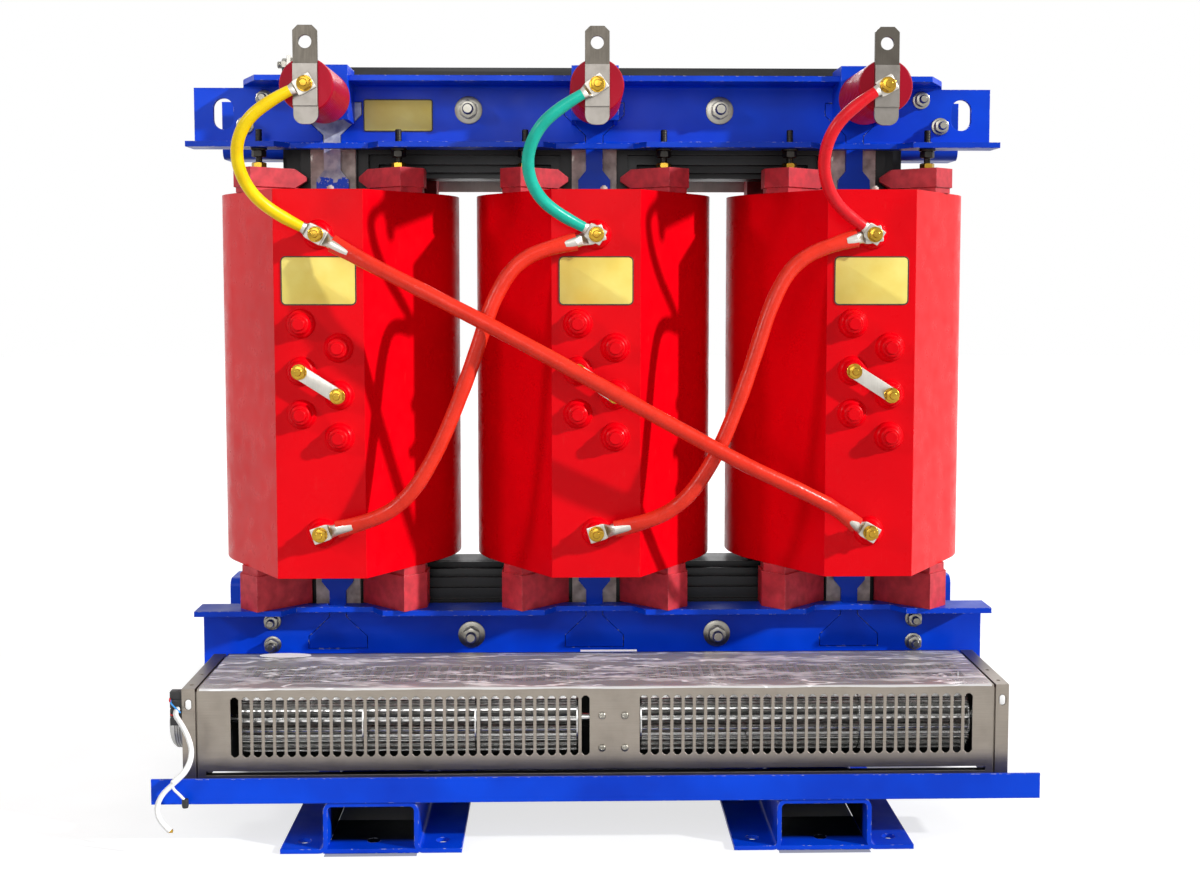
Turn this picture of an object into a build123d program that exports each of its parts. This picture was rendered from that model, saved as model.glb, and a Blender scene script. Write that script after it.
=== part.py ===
from build123d import *
import math
import os

# Three-phase cast-resin dry-type power transformer with cross-flow cooling fans.
# Frame: X to the right, Y to the rear, Z up, in millimetres. The origin is on the
# floor, at the centre of the floor bolt pattern. The high-voltage side faces -Y.

os.makedirs("parts", exist_ok=True)

# Driving dimensions: phases
PHASE_PITCH = 390.0
PHASES = {"left": -PHASE_PITCH, "centre": 0.0, "right": PHASE_PITCH}

# Core of stepped lamination packets: sheet width, and distance of the packet's face from Y = 0
CORE_PACKETS = ((168, 34), (152, 50), (130, 64), (102, 75), (70, 84))
TOP_YOKE_Z = 1008.0
BOTTOM_YOKE_Z = 246.0

# Clamps: bent channels on both faces of both yokes
CLAMP_HALF_LENGTH = 593.0
CLAMP_INNER_Y = 88.0
CLAMP_PLATE = 8.0
CLAMP_OUTER_Y = CLAMP_INNER_Y + CLAMP_PLATE
CLAMP_FLANGE_Y = 155.0
CLAMP_BEND = 14.0
TOP_CLAMP_Z = (962.0, 1065.0)
BOTTOM_CLAMP_Z = (177.0, 280.0)
BOTTOM_CLAMP_FOOT_Y = 130.0
LUG_TOP_Z = 1053.0
LUG_SLOT = (550.0, 1015.0, 30.0, 46.0)
FLANGE_RELIEF = (57.0, 75.0, 28.0)
UPPER_FLANGE_END = (492.0, 520.0)

# Through bolts of the clamps: X and Z of one side, then size by stud, washer and hexagon
BOLT_SMALL = (6.0, 13.0, 19.0)
BOLT_LARGE = (8.0, 20.5, 24.0)
TOP_BOLTS = ((489.0, 1037.0, BOLT_SMALL), (518.0, 998.0, BOLT_SMALL), (187.0, 1021.0, BOLT_LARGE))
BOTTOM_BOLTS = ((489.0, 252.0, BOLT_SMALL), (489.0, 216.0, BOLT_SMALL), (187.0, 230.0, BOLT_LARGE))
BOLT_CLEARANCE = 0.5
WASHER_PLATE = 3.0
NUT_HEIGHT = 12.0
STUD_END = 9.0

# Tie plates and the insulating boards behind them
TIE_NECK = 12.5
TIE_BODY = 24.0
TIE_HEAD = 44.0
TIE_GAP = 1.0
BOARD_HALF_WIDTH = 33.5
BOARD_PLATE = 3.0

# Coils
HV_OUTER_R = 181.0
HV_INNER_R = 146.0
HV_Z = (345.0, 897.0)
LV_OUTER_R = 130.0
LV_INNER_R = 102.0
LV_Z = (345.0, 897.0)
FLAT_HALF_WIDTH = 63.0
FLAT_Y = 236.0
BOSS_BASE_R = 21.0
BOSS_TOP_R = 13.5
BOSS_RISE = 15.0
BOSS_WAIST = (16.0, 8.0)
CAP_R = 9.5
CAP_RISE = 6.0
TAP_X = (-26.0, 27.0)
LEFT_TAP_Z = (708.0, 641.0, 580.0)
RIGHT_TAP_Z = (674.0, 607.0, 547.0)
LINK_Z = (641.0, 607.0)
TERMINAL_Z = (833.0, 411.0)

# Pads between coils and clamps: bars set at 45 degrees under each press screw. The plan is of
# the right front pad, and its step against the coil is smaller all round.
PAD_PLAN = ((108.0, -163.0), (139.0, -132.0), (139.0, -88.0), (39.0, -88.0), (39.0, -94.0))
PAD_STEP_INSET = 3.0
PAD_POINT = (15.0, 11.0)
TOP_PAD_Z = (905.0, 933.0)
BOTTOM_PAD_Z = (280.0, 333.0)
SCREW_XY = (102.0, 128.0)
SCREW_R = 5.5
SCREW_TOP_Z = 990.0

# Post insulators and high-voltage terminal bars
INSULATOR_Z = 1031.0
INSULATOR_Y = (167.0, 318.0)
INSULATOR_FRONT_R = 36.5
INSULATOR_BACK_R = 37.5
BRACKET_PLATE = 6.0
BRACKET_HALF_WIDTH = 34.0
BRACKET_Z = (1000.0, 1078.0)
BAR_WIDTH = 33.0
BAR_PLATE = 5.0
BAR_Z = (978.0, 1109.0)
BAR_CORNER = 7.0
BAR_FOOT_R = 13.0
BAR_HOLE_R = 8.75
BAR_HOLE_Z = 1087.0
FACE_PLATE = 4.0
FACE_PLATE_Z = (1002.0, 1058.0)
LUG_SEAT_Y = -INSULATOR_Y[1] - BAR_PLATE - FACE_PLATE

# Leads and links between the terminals
LEAD_R = 8.5
TUBE_R = 10.5
LUG_PLATE = 3.0
LUG_WIDTH = 24.0
LUG_REACH = 34.0

# Skids
FOOT_X = 306.0
FOOT_TOP_HALF = 64.0
FOOT_HALF_WIDTH = 122.0
FOOT_HALF_LENGTH = 382.0
FOOT_HEIGHT = 70.0
FOOT_PLATE = 6.0
FOOT_BEND = 12.0
FLOOR_HOLE_R = 9.0
FLOOR_HOLE_OFFSET = 94.0
FLOOR_HOLE_Y = 350.0
LEG_HALF_WIDTH = 45.0
LEG_DEPTH = 50.0

# Angle rails that carry the fans: half length, then Y of the upright leg's outer face and of
# the flat leg's edge
RAIL_PLATE = 4.0
RAIL_TOP_Z = 104.0
OUTER_RAIL = (598.0, -384.0, -324.0)
INNER_RAIL = (560.0, -148.0, -212.0)

# Fan units
FAN_HALF_LENGTH = 544.0
FAN_Y = (152.0, 345.0)
FAN_BOTTOM_Z = 102.0
FAN_TOP_Z = 216.0
FAN_FOOT_Z = FOOT_HEIGHT + RAIL_PLATE
SILL_Z = (92.0, 96.0)
SILL_DEPTH = 12.0
SILL_END = 10.0
FAN_SHEET = 2.0
FAN_END_GAP = 3.0
FAN_END_BOX = 18.0
FAN_OUTER_X = FAN_HALF_LENGTH + FAN_END_GAP + FAN_END_BOX
END_NECK_INSET = 5.0
SLOT_WIDTH = 11.0
SLOT_Z = (121.0, 204.0)
TOP_SLOT_Y = (-312.0, -229.0)
SLOT_CHAMFER = 3.5
SLOT_PITCH = 15.4
LEFT_SLOTS = (-494.0, 32)
RIGHT_SLOTS = (63.0, 30)
ROTOR_Y = 289.0
ROTOR_Z = 158.0
ROTOR_R = 45.0
ROTOR_INNER_R = 34.0
BLADES = 20
BLADE_PLATE = 2.6
BLADE_SWEEP = 8.0
DISC_PLATE = 2.0
SHAFT_R = 6.0
RUNNING_GAP = 0.05
DRUMS = ((-490.0, -322.0, -168.0, -28.0), (60.0, 211.0, 362.0, 514.0))
SHAFT_LEFT_X = -FAN_OUTER_X - 7
SHAFT_RIGHT_X = FAN_OUTER_X - 2
MIDDLE_BEARING_X = 20.0
BEARING_HALF = 8.0
END_SLOT_Z = (187.0, 202.0)
END_HOLES_Y = (-323.0, -268.0)
END_RECESS = 2.0
MOTOR_R = 38.0

# Low-voltage bars at the rear: a line bar and a star link stand on each coil, side by side
LV_BAR_PLATE = 6.0
LV_FOOT_Y = 118.0
LINE_BAR_X = (1.0, 37.0)
LINE_BAR_SHELF_Z = 944.0
LINE_BAR_Y = 164.0
LINE_BAR_TOP_Z = 1112.0
LINE_HOLES_Z = (1052.0, 1092.0)
LV_HOLE_R = 7.0
STAR_LINK_X = (-35.0, -5.0)
STAR_LINK_SHELF_Z = 925.0
STAR_BAR_Y = 180.0
STAR_BAR_Z = (915.0, 950.0)
STAR_BAR_END_X = 385.0
NEUTRAL_X = (-500.0, -464.0)
NEUTRAL_TOP_Z = 1136.0
NEUTRAL_EAR_Y = 150.0
NEUTRAL_EAR_Z = 1108.0
NEUTRAL_HOLE = (165.0, 1122.0)
LINE_SUPPORT_Z = (1046.0, 1076.0)
NEUTRAL_SUPPORT_Z = (955.0, 977.0)

# White cable from the front fan: its route is a list chosen by eye
CABLE_R = 3.5
CABLE_ROUTE = (
    (-571.0, -343.0, 188.0),
    (-571.0, -363.0, 188.0),
    (-558.0, -378.0, 179.0),
    (-545.0, -388.0, 161.0),
    (-540.0, -392.0, 140.0),
    (-547.0, -395.0, 119.0),
    (-563.0, -397.0, 104.0),
    (-580.0, -398.0, 89.0),
    (-588.0, -398.0, 70.0),
    (-583.0, -398.0, 51.0),
    (-570.0, -398.0, 39.0),
)


def block(x0, x1, y0, y1, z0, z1):
    """A box between two corners."""
    size = (abs(x1 - x0), abs(y1 - y0), abs(z1 - z0))
    return Pos((x0 + x1) / 2, (y0 + y1) / 2, (z0 + z1) / 2) * Box(*size)


def rod_x(x0, x1, y, z, radius):
    """A round bar along X."""
    return Pos((x0 + x1) / 2, y, z) * Rot(0, 90, 0) * Cylinder(radius, abs(x1 - x0))


def rod_y(x, y0, y1, z, radius):
    """A round bar along Y."""
    return Pos(x, (y0 + y1) / 2, z) * Rot(90, 0, 0) * Cylinder(radius, abs(y1 - y0))


def rod_z(x, y, z0, z1, radius):
    """A round bar along Z."""
    return Pos(x, y, (z0 + z1) / 2) * Cylinder(radius, abs(z1 - z0))


def hex_y(x, y0, y1, z, across_flats):
    """A hexagon head or nut along Y."""
    profile = RegularPolygon(across_flats / 2, 6, major_radius=False)
    return extrude(Plane((x, y0, z), z_dir=(0, 1, 0)) * profile, y1 - y0)


def hex_z(x, y, z0, z1, across_flats):
    """A hexagon head or nut along Z."""
    profile = RegularPolygon(across_flats / 2, 6, major_radius=False)
    return extrude(Pos(x, y, z0) * profile, z1 - z0)


def outline_xz(points, y0, y1):
    """A plate with an outline in X and Z, between two Y values."""
    face = make_face(Polyline(*[(x, y0, z) for x, z in points], close=True))
    return extrude(face, abs(y1 - y0), dir=(0, 1 if y1 > y0 else -1, 0))


def outline_xy(points, z0, z1):
    """A plate with an outline in X and Y, between two Z values."""
    return Pos(0, 0, z0) * extrude(make_face(Polyline(*points, close=True)), z1 - z0)


def round_bends(plate, axis, corners, radius):
    """Round the long edges of a bent plate at some corners of its section."""
    across = (0, 2) if axis == Axis.Y else (1, 2)

    def is_bend(edge):
        middle = tuple(edge.center())
        return any(math.dist([middle[i] for i in across], corner) < 0.1 for corner in corners)

    return fillet(plate.edges().filter_by(axis).filter_by(is_bend), radius)


def to_rear(shape):
    """The same piece on the rear face."""
    return mirror(shape, about=Plane.XZ)


def write(name, *shapes):
    """Write one node, of one or more solids."""
    solids = [solid for shape in shapes for solid in shape.solids()]
    whole = solids[0] if len(solids) == 1 else Compound(children=solids)
    whole.label = name
    export_step(whole, f"parts/{name}.step")


def bolt_holes(bolts):
    """Cutters for the through bolts of both sides, along Y."""
    reach = CLAMP_OUTER_Y + 1
    holes = []
    for x, z, (stud_r, _, _) in bolts:
        for side in (-1, 1):
            holes.append(rod_y(side * x, -reach, reach, z, stud_r + BOLT_CLEARANCE))
    return holes


# Core
def core_packet(width, near, far):
    """One lamination packet: an outline of three legs and two yokes, with two windows."""
    low = BOTTOM_YOKE_Z - width / 2
    high = TOP_YOKE_Z + width / 2
    half = PHASE_PITCH + width / 2
    packet = block(-half, half, near, far, low, high)
    for side in (-1, 1):
        inner = side * width / 2
        outer = side * (PHASE_PITCH - width / 2)
        packet -= block(inner, outer, near, far, BOTTOM_YOKE_Z + width / 2, TOP_YOKE_Z - width / 2)
    return packet


def make_core():
    """The stepped core, widest packet in the middle."""
    width, far = CORE_PACKETS[0]
    core = core_packet(width, -far, far)
    near = far
    for width, far in CORE_PACKETS[1:]:
        core += core_packet(width, -far, -near)
        core += core_packet(width, near, far)
        near = far
    return core - bolt_holes(TOP_BOLTS[-1:] + BOTTOM_BOLTS[-1:])


# Clamps
def channel(low, high, upper_y, lower_y):
    """A bent channel on the front: web against the yoke and two flanges outwards."""
    outline = [
        (-CLAMP_INNER_Y, low),
        (-CLAMP_INNER_Y, high),
        (-upper_y, high),
        (-upper_y, high - CLAMP_PLATE),
        (-CLAMP_OUTER_Y, high - CLAMP_PLATE),
        (-CLAMP_OUTER_Y, low + CLAMP_PLATE),
        (-lower_y, low + CLAMP_PLATE),
        (-lower_y, low),
    ]
    points = [(-CLAMP_HALF_LENGTH, y, z) for y, z in outline]
    bar = extrude(make_face(Polyline(*points, close=True)), 2 * CLAMP_HALF_LENGTH, dir=(1, 0, 0))
    outer = [outline[0], outline[1]]
    inner = [outline[4], outline[5]]
    bar = round_bends(bar, Axis.X, outer, CLAMP_BEND)
    return round_bends(bar, Axis.X, inner, CLAMP_BEND - CLAMP_PLATE)


def flange_reliefs(z0, z1):
    """Cut-backs of a flange at each phase."""
    near, far, depth = FLANGE_RELIEF
    edge = -CLAMP_FLANGE_Y
    cuts = []
    for x in PHASES.values():
        points = [
            (x - far, edge - 1),
            (x - far, edge),
            (x - near, edge + depth),
            (x + near, edge + depth),
            (x + far, edge),
            (x + far, edge - 1),
        ]
        cuts.append(outline_xy(points, z0 - 1, z1 + 1))
    return cuts


def tie_outline(grow):
    """Half outline of a tie plate, from its neck to its head, as x and height from the neck's foot."""
    neck = TIE_NECK + grow
    head = TIE_HEAD + grow
    return ((neck, 0.0), (neck, 14.0), (head, 44.0), (head, 62.0 + grow))


def head_pocket(x, base, upward):
    """The cut-out of a clamp web that a tie plate's head sits in."""
    half = [(dx, base + upward * dz) for dx, dz in tie_outline(TIE_GAP)]
    half[0] = (half[0][0], base - upward * 20.0)
    points = [(x + dx, z) for dx, z in half] + [(x - dx, z) for dx, z in reversed(half)]
    return outline_xz(points, -CLAMP_FLANGE_Y + FLANGE_RELIEF[2] + 12.0, -CLAMP_INNER_Y + 1)


def slot_y(x, z, width, height):
    """An upright round-ended slot, as a cutter through a web."""
    straight = (height - width) / 2
    cutter = block(x - width / 2, x + width / 2, -110, -80, z - straight, z + straight)
    cutter += rod_y(x, -110, -80, z - straight, width / 2)
    cutter += rod_y(x, -110, -80, z + straight, width / 2)
    return cutter


def make_top_clamp():
    """The front top clamp, with lifting lugs, reliefs and pockets for the tie plates."""
    low, high = TOP_CLAMP_Z
    clamp = channel(low, high, CLAMP_FLANGE_Y, CLAMP_FLANGE_Y)
    near, far = UPPER_FLANGE_END
    for side in (-1, 1):
        ends = [
            (side * near, -CLAMP_FLANGE_Y - 1),
            (side * near, -CLAMP_FLANGE_Y),
            (side * far, -CLAMP_OUTER_Y),
            (side * far, -CLAMP_INNER_Y + 1),
            (side * (CLAMP_HALF_LENGTH + 1), -CLAMP_INNER_Y + 1),
            (side * (CLAMP_HALF_LENGTH + 1), -CLAMP_FLANGE_Y - 1),
        ]
        clamp -= outline_xy(ends, LUG_TOP_Z, high + 1)
        x, z, width, height = LUG_SLOT
        clamp -= slot_y(side * x, z, width, height)
    cuts = flange_reliefs(low, low + CLAMP_PLATE) + bolt_holes(TOP_BOLTS)
    for x in PHASES.values():
        cuts.append(head_pocket(x, low + CLAMP_PLATE, 1))
        for side in (-1, 1):
            screw_x = x + side * SCREW_XY[0]
            cuts.append(rod_z(screw_x, -SCREW_XY[1], low - 1, low + CLAMP_PLATE + 1, SCREW_R))
    return clamp - cuts


def make_bottom_clamp():
    """The front bottom clamp."""
    low, high = BOTTOM_CLAMP_Z
    clamp = channel(low, high, CLAMP_FLANGE_Y, BOTTOM_CLAMP_FOOT_Y)
    cuts = flange_reliefs(high - CLAMP_PLATE, high) + bolt_holes(BOTTOM_BOLTS)
    cuts += [head_pocket(x, high - CLAMP_PLATE, -1) for x in PHASES.values()]
    return clamp - cuts


# Tie plates
def make_tie_plate(x):
    """A tie plate from head to head, lying in both web pockets."""
    low = BOTTOM_CLAMP_Z[1] - CLAMP_PLATE
    high = TOP_CLAMP_Z[0] + CLAMP_PLATE
    shoulder = 14.0
    right = [(dx, low - dz) for dx, dz in reversed(tie_outline(0))]
    right += [(TIE_NECK, low + 26.0), (TIE_BODY, low + 26.0 + shoulder)]
    right += [(TIE_BODY, high - 38.0 - shoulder), (TIE_NECK, high - 38.0)]
    right += [(dx, high + dz) for dx, dz in tie_outline(0)]
    points = [(x + dx, z) for dx, z in right] + [(x - dx, z) for dx, z in reversed(right)]
    return outline_xz(points, -CLAMP_OUTER_Y, -CLAMP_INNER_Y)


def make_tie_board(x):
    """The insulating board between a tie plate and the core leg."""
    return block(
        x - BOARD_HALF_WIDTH,
        x + BOARD_HALF_WIDTH,
        -CLAMP_INNER_Y + 0.2,
        -CLAMP_INNER_Y + BOARD_PLATE,
        BOTTOM_YOKE_Z - 30,
        TOP_YOKE_Z + 30,
    )


# Coils
def coil_section():
    """Outline of a cast coil: a ring with a flat-faced prism whose flanks touch the ring."""
    reach = math.hypot(FLAT_HALF_WIDTH, FLAT_Y)
    corner = math.atan2(FLAT_HALF_WIDTH, FLAT_Y)
    turn = corner + math.acos(HV_OUTER_R / reach)
    touch = (HV_OUTER_R * math.sin(turn), -HV_OUTER_R * math.cos(turn))
    prism = [
        (-touch[0], touch[1]),
        (-FLAT_HALF_WIDTH, -FLAT_Y),
        (FLAT_HALF_WIDTH, -FLAT_Y),
        touch,
    ]
    return Circle(HV_OUTER_R) + make_face(Polyline(*prism, close=True)) - Circle(HV_INNER_R)


def boss(z, x, capped):
    """A tap or terminal boss on the flat: a rounded cone, with a cap where no bar is bolted."""
    crown = [BOSS_WAIST, (BOSS_TOP_R, BOSS_RISE)]
    if capped:
        top = BOSS_RISE + CAP_RISE
        crown += [(BOSS_TOP_R - 1.5, BOSS_RISE + 1), (CAP_R, BOSS_RISE + 1)]
        crown += [(CAP_R - 0.5, top), (CAP_R - 1.5, top + 1), (0, top + 1)]
    else:
        crown += [(0, BOSS_RISE)]
    crown += [(0, -2), (BOSS_BASE_R, -2), (BOSS_BASE_R, 0)]
    shoulder = ThreePointArc((BOSS_BASE_R, 0, 0), (19.3, 0, 4.6), (BOSS_WAIST[0], 0, BOSS_WAIST[1]))
    face = make_face([Polyline(*[(r, 0, h) for r, h in crown]), shoulder])
    return Pos(x, -FLAT_Y, z) * Rot(90, 0, 0) * revolve(face, Axis.Z, 360)


def make_hv_coil(x):
    """A high-voltage coil with its bosses."""
    coil = Pos(0, 0, HV_Z[0]) * extrude(coil_section(), HV_Z[1] - HV_Z[0])
    for z in TERMINAL_Z:
        coil += boss(z, 0, False)
    for tap_x, heights in zip(TAP_X, (LEFT_TAP_Z, RIGHT_TAP_Z)):
        for z in heights:
            coil += boss(z, tap_x, z not in LINK_Z)
    return Pos(x, 0, 0) * coil


def make_lv_coil(x):
    """A low-voltage coil between the core leg and the high-voltage coil."""
    ring = Circle(LV_OUTER_R) - Circle(LV_INNER_R)
    return Pos(x, 0, LV_Z[0]) * extrude(ring, LV_Z[1] - LV_Z[0])


# Pads and press screws
def pad_point(z, upward):
    """Cutter that slants the narrow end of a pad away from one of its level faces."""
    tip = PAD_PLAN[-1][0]
    run, rise = PAD_POINT
    corners = [
        (tip - run, z - 2 * upward * rise),
        (tip + 2 * run, z + upward * rise),
        (tip - run, z + upward * rise),
    ]
    return outline_xz(corners, PAD_PLAN[0][1] - 1, PAD_PLAN[2][1] + 1)


def four_pads(z0, z1, step0, step1, pointed):
    """The four pads of one coil end, each with a smaller step against the coil."""
    plan = make_face(Polyline(*PAD_PLAN, close=True))
    step = offset(plan, -PAD_STEP_INSET, kind=Kind.INTERSECTION)
    pad = Pos(0, 0, z0) * extrude(plan, z1 - z0, dir=(0, 0, 1))
    if pointed:
        pad -= [pad_point(z0, -1), pad_point(z1, 1)]
    pad += Pos(0, 0, step0) * extrude(step, step1 - step0, dir=(0, 0, 1))
    left = mirror(pad, about=Plane.YZ)
    return [pad, left, to_rear(pad), to_rear(left)]


def make_pads():
    """Pads of all coils: pointed ones on top and taller plain ones below."""
    pads = four_pads(*TOP_PAD_Z, HV_Z[1], TOP_PAD_Z[0], True)
    pads += four_pads(*BOTTOM_PAD_Z, BOTTOM_PAD_Z[1], HV_Z[0], False)
    return [Pos(x, 0, 0) * pad for x in PHASES.values() for pad in pads]


def make_press_screws():
    """Screws through the lower flange of the top clamp, with nuts, standing on the pads."""
    screws = []
    low = TOP_CLAMP_Z[0]
    for x in PHASES.values():
        for side in (-1, 1):
            for face in (-1, 1):
                px = x + side * SCREW_XY[0]
                py = face * SCREW_XY[1]
                screw = rod_z(px, py, TOP_PAD_Z[1], SCREW_TOP_Z, SCREW_R - 0.5)
                screw += hex_z(px, py, TOP_PAD_Z[1], TOP_PAD_Z[1] + 8, 19)
                screw += hex_z(px, py, low - 13, low - 3, 19)
                screw += rod_z(px, py, low - 3, low, 12)
                screws.append(screw)
    return screws


# Clamp bolts
def through_bolt(x, z, size):
    """A stud from face to face, with a washer and nut outside each web."""
    stud_r, washer_r, across_flats = size
    washer_y = CLAMP_OUTER_Y + WASHER_PLATE
    nut_y = washer_y + NUT_HEIGHT
    bolt = rod_y(x, -nut_y - STUD_END, nut_y + STUD_END, z, stud_r)
    for side in (-1, 1):
        bolt += rod_y(x, side * CLAMP_OUTER_Y, side * washer_y, z, washer_r)
    bolt += hex_y(x, washer_y, nut_y, z, across_flats)
    return bolt + hex_y(x, -nut_y, -washer_y, z, across_flats)


def make_clamp_bolts():
    """Through bolts: small ones past the core's ends, large ones through the yokes."""
    bolts = TOP_BOLTS + BOTTOM_BOLTS
    return [through_bolt(side * x, z, size) for x, z, size in bolts for side in (-1, 1)]


# High-voltage terminals
def make_bracket(x):
    """A bent bracket that carries an insulator in front of the top clamp."""
    low, high = BRACKET_Z
    front = -INSULATOR_Y[0]
    half = BRACKET_HALF_WIDTH
    bracket = block(x - half, x + half, front, front + BRACKET_PLATE, low, high)
    for side in (-1, 1):
        outer = x + side * BRACKET_HALF_WIDTH
        inner = outer - side * BRACKET_PLATE
        bracket += block(outer, inner, front, -CLAMP_OUTER_Y, low, high)
    top = TOP_CLAMP_Z[1]
    under = top - CLAMP_PLATE
    bend = CLAMP_BEND - CLAMP_PLATE
    left, right = x - half - 1, x + half + 1
    inner = 1 - CLAMP_OUTER_Y
    return bracket - [
        block(left, right, -CLAMP_FLANGE_Y, inner, under, top),
        block(left, right, -CLAMP_OUTER_Y - bend, inner, under - bend, under),
    ]


def make_insulator(x):
    """A tapered post insulator with shallow rings, its axis along Y."""
    length = INSULATOR_Y[1] - INSULATOR_Y[0]
    profile = [(0, 0), (INSULATOR_BACK_R, 0), (INSULATOR_FRONT_R, length), (0, length)]
    face = make_face(Polyline(*[(r, 0, h) for r, h in profile], close=True))
    return Pos(x, -INSULATOR_Y[0], INSULATOR_Z) * Rot(90, 0, 0) * revolve(face, Axis.Z, 360)


def make_hv_terminal(x):
    """A terminal bar with a rounded foot and one hole, and the face plate bolted to it."""
    back = -INSULATOR_Y[1]
    front = back - BAR_PLATE
    half = BAR_WIDTH / 2
    low, high = BAR_Z
    bar = block(x - half, x + half, front, back, low, high)
    uprights = bar.edges().filter_by(Axis.Y).group_by(Axis.Z)
    bar = fillet(uprights[0], BAR_FOOT_R)
    bar = chamfer(bar.edges().filter_by(Axis.Y).group_by(Axis.Z)[-1], BAR_CORNER)
    bar -= rod_y(x, front - 1, back + 1, BAR_HOLE_Z, BAR_HOLE_R)
    return bar + block(x - half, x + half, LUG_SEAT_Y, front, *FACE_PLATE_Z)


def brass_bolt(x, seat_y, z):
    """A brass hexagon bolt head with its washer, seated on a lug."""
    return hex_y(x, seat_y - 9, seat_y - 1.6, z, 17) + rod_y(x, seat_y - 1.6, seat_y, z, 11)


def terminal_seat():
    """Y of the front of a boss on a coil flat."""
    return -FLAT_Y - BOSS_RISE


def make_brass_bolts():
    """Bolts on the insulators, the coil terminals and the tap links."""
    bolts = []
    for x in PHASES.values():
        bolts.append(brass_bolt(x, LUG_SEAT_Y - LUG_PLATE, INSULATOR_Z))
        bolts.append(brass_bolt(x, terminal_seat() - 2 * LUG_PLATE, TERMINAL_Z[0]))
        bolts.append(brass_bolt(x, terminal_seat() - LUG_PLATE, TERMINAL_Z[1]))
        for tap_x, z in zip(TAP_X, LINK_Z):
            bolts.append(brass_bolt(x + tap_x, terminal_seat() - LUG_PLATE, z))
    return bolts


def make_tap_link(x):
    """A bare bar between two tap bosses."""
    y = terminal_seat()
    start = (x + TAP_X[0], LINK_Z[0])
    end = (x + TAP_X[1], LINK_Z[1])
    length = math.dist(start, end)
    angle = math.degrees(math.atan2(end[1] - start[1], end[0] - start[0]))
    middle = ((start[0] + end[0]) / 2, (start[1] + end[1]) / 2)
    profile = SlotCenterToCenter(length, 21)
    plane = Plane((middle[0], y - LUG_PLATE, middle[1]), x_dir=(1, 0, 0), z_dir=(0, -1, 0))
    return extrude(plane * Rot(0, 0, angle) * profile, -LUG_PLATE)


# Leads and delta tubes
def arc_radii(points):
    """Radius of the arc at each corner of a route: as large as its two runs allow."""
    radii = []
    for before, corner, after in zip(points, points[1:], points[2:]):
        run_in = Vector(*corner) - Vector(*before)
        run_out = Vector(*after) - Vector(*corner)
        turn = math.radians(run_in.get_angle(run_out))
        radii.append(0.45 * min(run_in.length, run_out.length) / math.tan(turn / 2))
    return radii


def tube_along(name, points, radius):
    """A round tube of straight runs joined by tangent arcs."""
    radii = arc_radii(points)
    path = FilletPolyline(*points, radius=radii)
    start = Plane(origin=path @ 0, z_dir=path % 0)
    tube = sweep(start * Circle(radius), path=path)
    expected = math.pi * radius**2 * path.length
    print(f"{name}: length {path.length:.0f} mm, volume ratio {tube.volume / expected:.4f}")
    print(f"{name}: radii", " ".join(f"{r:.0f}" for r in radii))
    return tube


def cable_lug(bolt, seat_y, toward):
    """A flat lug on a terminal, pointing along its lead in X and Z."""
    angle = math.degrees(math.atan2(toward[1] - bolt[1], toward[0] - bolt[0]))
    plane = Plane((bolt[0], seat_y, bolt[1]), x_dir=(1, 0, 0), z_dir=(0, -1, 0))
    plate = Pos(LUG_REACH / 2 - 6, 0, 0) * Rectangle(LUG_REACH + 12, LUG_WIDTH)
    return extrude(plane * Rot(0, 0, angle) * plate, LUG_PLATE)


def make_phase_lead(side, offsets):
    """An insulated lead from an insulator to the coil terminal below it."""
    x = PHASES[side]
    points = [(x + dx, y, z) for dx, y, z in offsets]
    lead = tube_along(f"phase_lead_{side}", points, LEAD_R)
    first, last = points[0], points[-1]
    upper = cable_lug((x, INSULATOR_Z), LUG_SEAT_Y, (first[0], first[2]))
    lower = cable_lug((x, TERMINAL_Z[0]), terminal_seat() - LUG_PLATE, (last[0], last[2]))
    return lead + [upper, lower]


LEAD_OFFSETS = {
    "left": (
        (-18, -337, 1021), (-60, -337, 1000), (-90, -327, 965),
        (-96, -312, 925), (-80, -292, 885), (-46, -272, 857), (-18, -264, 843),
    ),
    "centre": (
        (-20, -337, 1017), (-60, -337, 994), (-88, -327, 960),
        (-96, -312, 922), (-82, -292, 884), (-48, -272, 857), (-18, -264, 843),
    ),
    "right": (
        (-18, -337, 1021), (-54, -337, 997), (-78, -327, 964),
        (-84, -312, 924), (-70, -292, 886), (-42, -272, 859), (-18, -264, 845),
    ),
}

DELTA_ROUTES = (
    ("left_to_right", (-390, 833), (390, 411), (
        (-366, -262, 820), (-310, -282, 790), (-232, -302, 752), (-110, -310, 689), (4, -312, 626),
        (110, -310, 567), (206, -304, 514), (290, -290, 474), (340, -276, 447), (368, -262, 424),
    )),
    ("centre_to_left", (0, 833), (-390, 411), (
        (-28, -262, 823), (-66, -266, 815), (-112, -274, 794), (-144, -278, 742), (-166, -280, 672),
        (-192, -280, 600), (-224, -280, 526), (-262, -276, 466), (-310, -268, 433), (-364, -262, 420),
    )),
    ("right_to_centre", (390, 833), (0, 411), (
        (364, -262, 828), (326, -266, 819), (274, -274, 794), (244, -278, 742), (222, -280, 672),
        (198, -280, 600), (168, -280, 526), (128, -276, 464), (80, -268, 431), (26, -262, 419),
    )),
)


def make_delta_tubes():
    """The three insulated links that close the delta."""
    tubes = []
    for name, start, end, points in DELTA_ROUTES:
        tube = tube_along(f"delta tube {name}", points, TUBE_R)
        tube += cable_lug(start, terminal_seat(), (points[0][0], points[0][2]))
        tube += cable_lug(end, terminal_seat(), (points[-1][0], points[-1][2]))
        tubes.append(tube)
    return tubes


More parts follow.
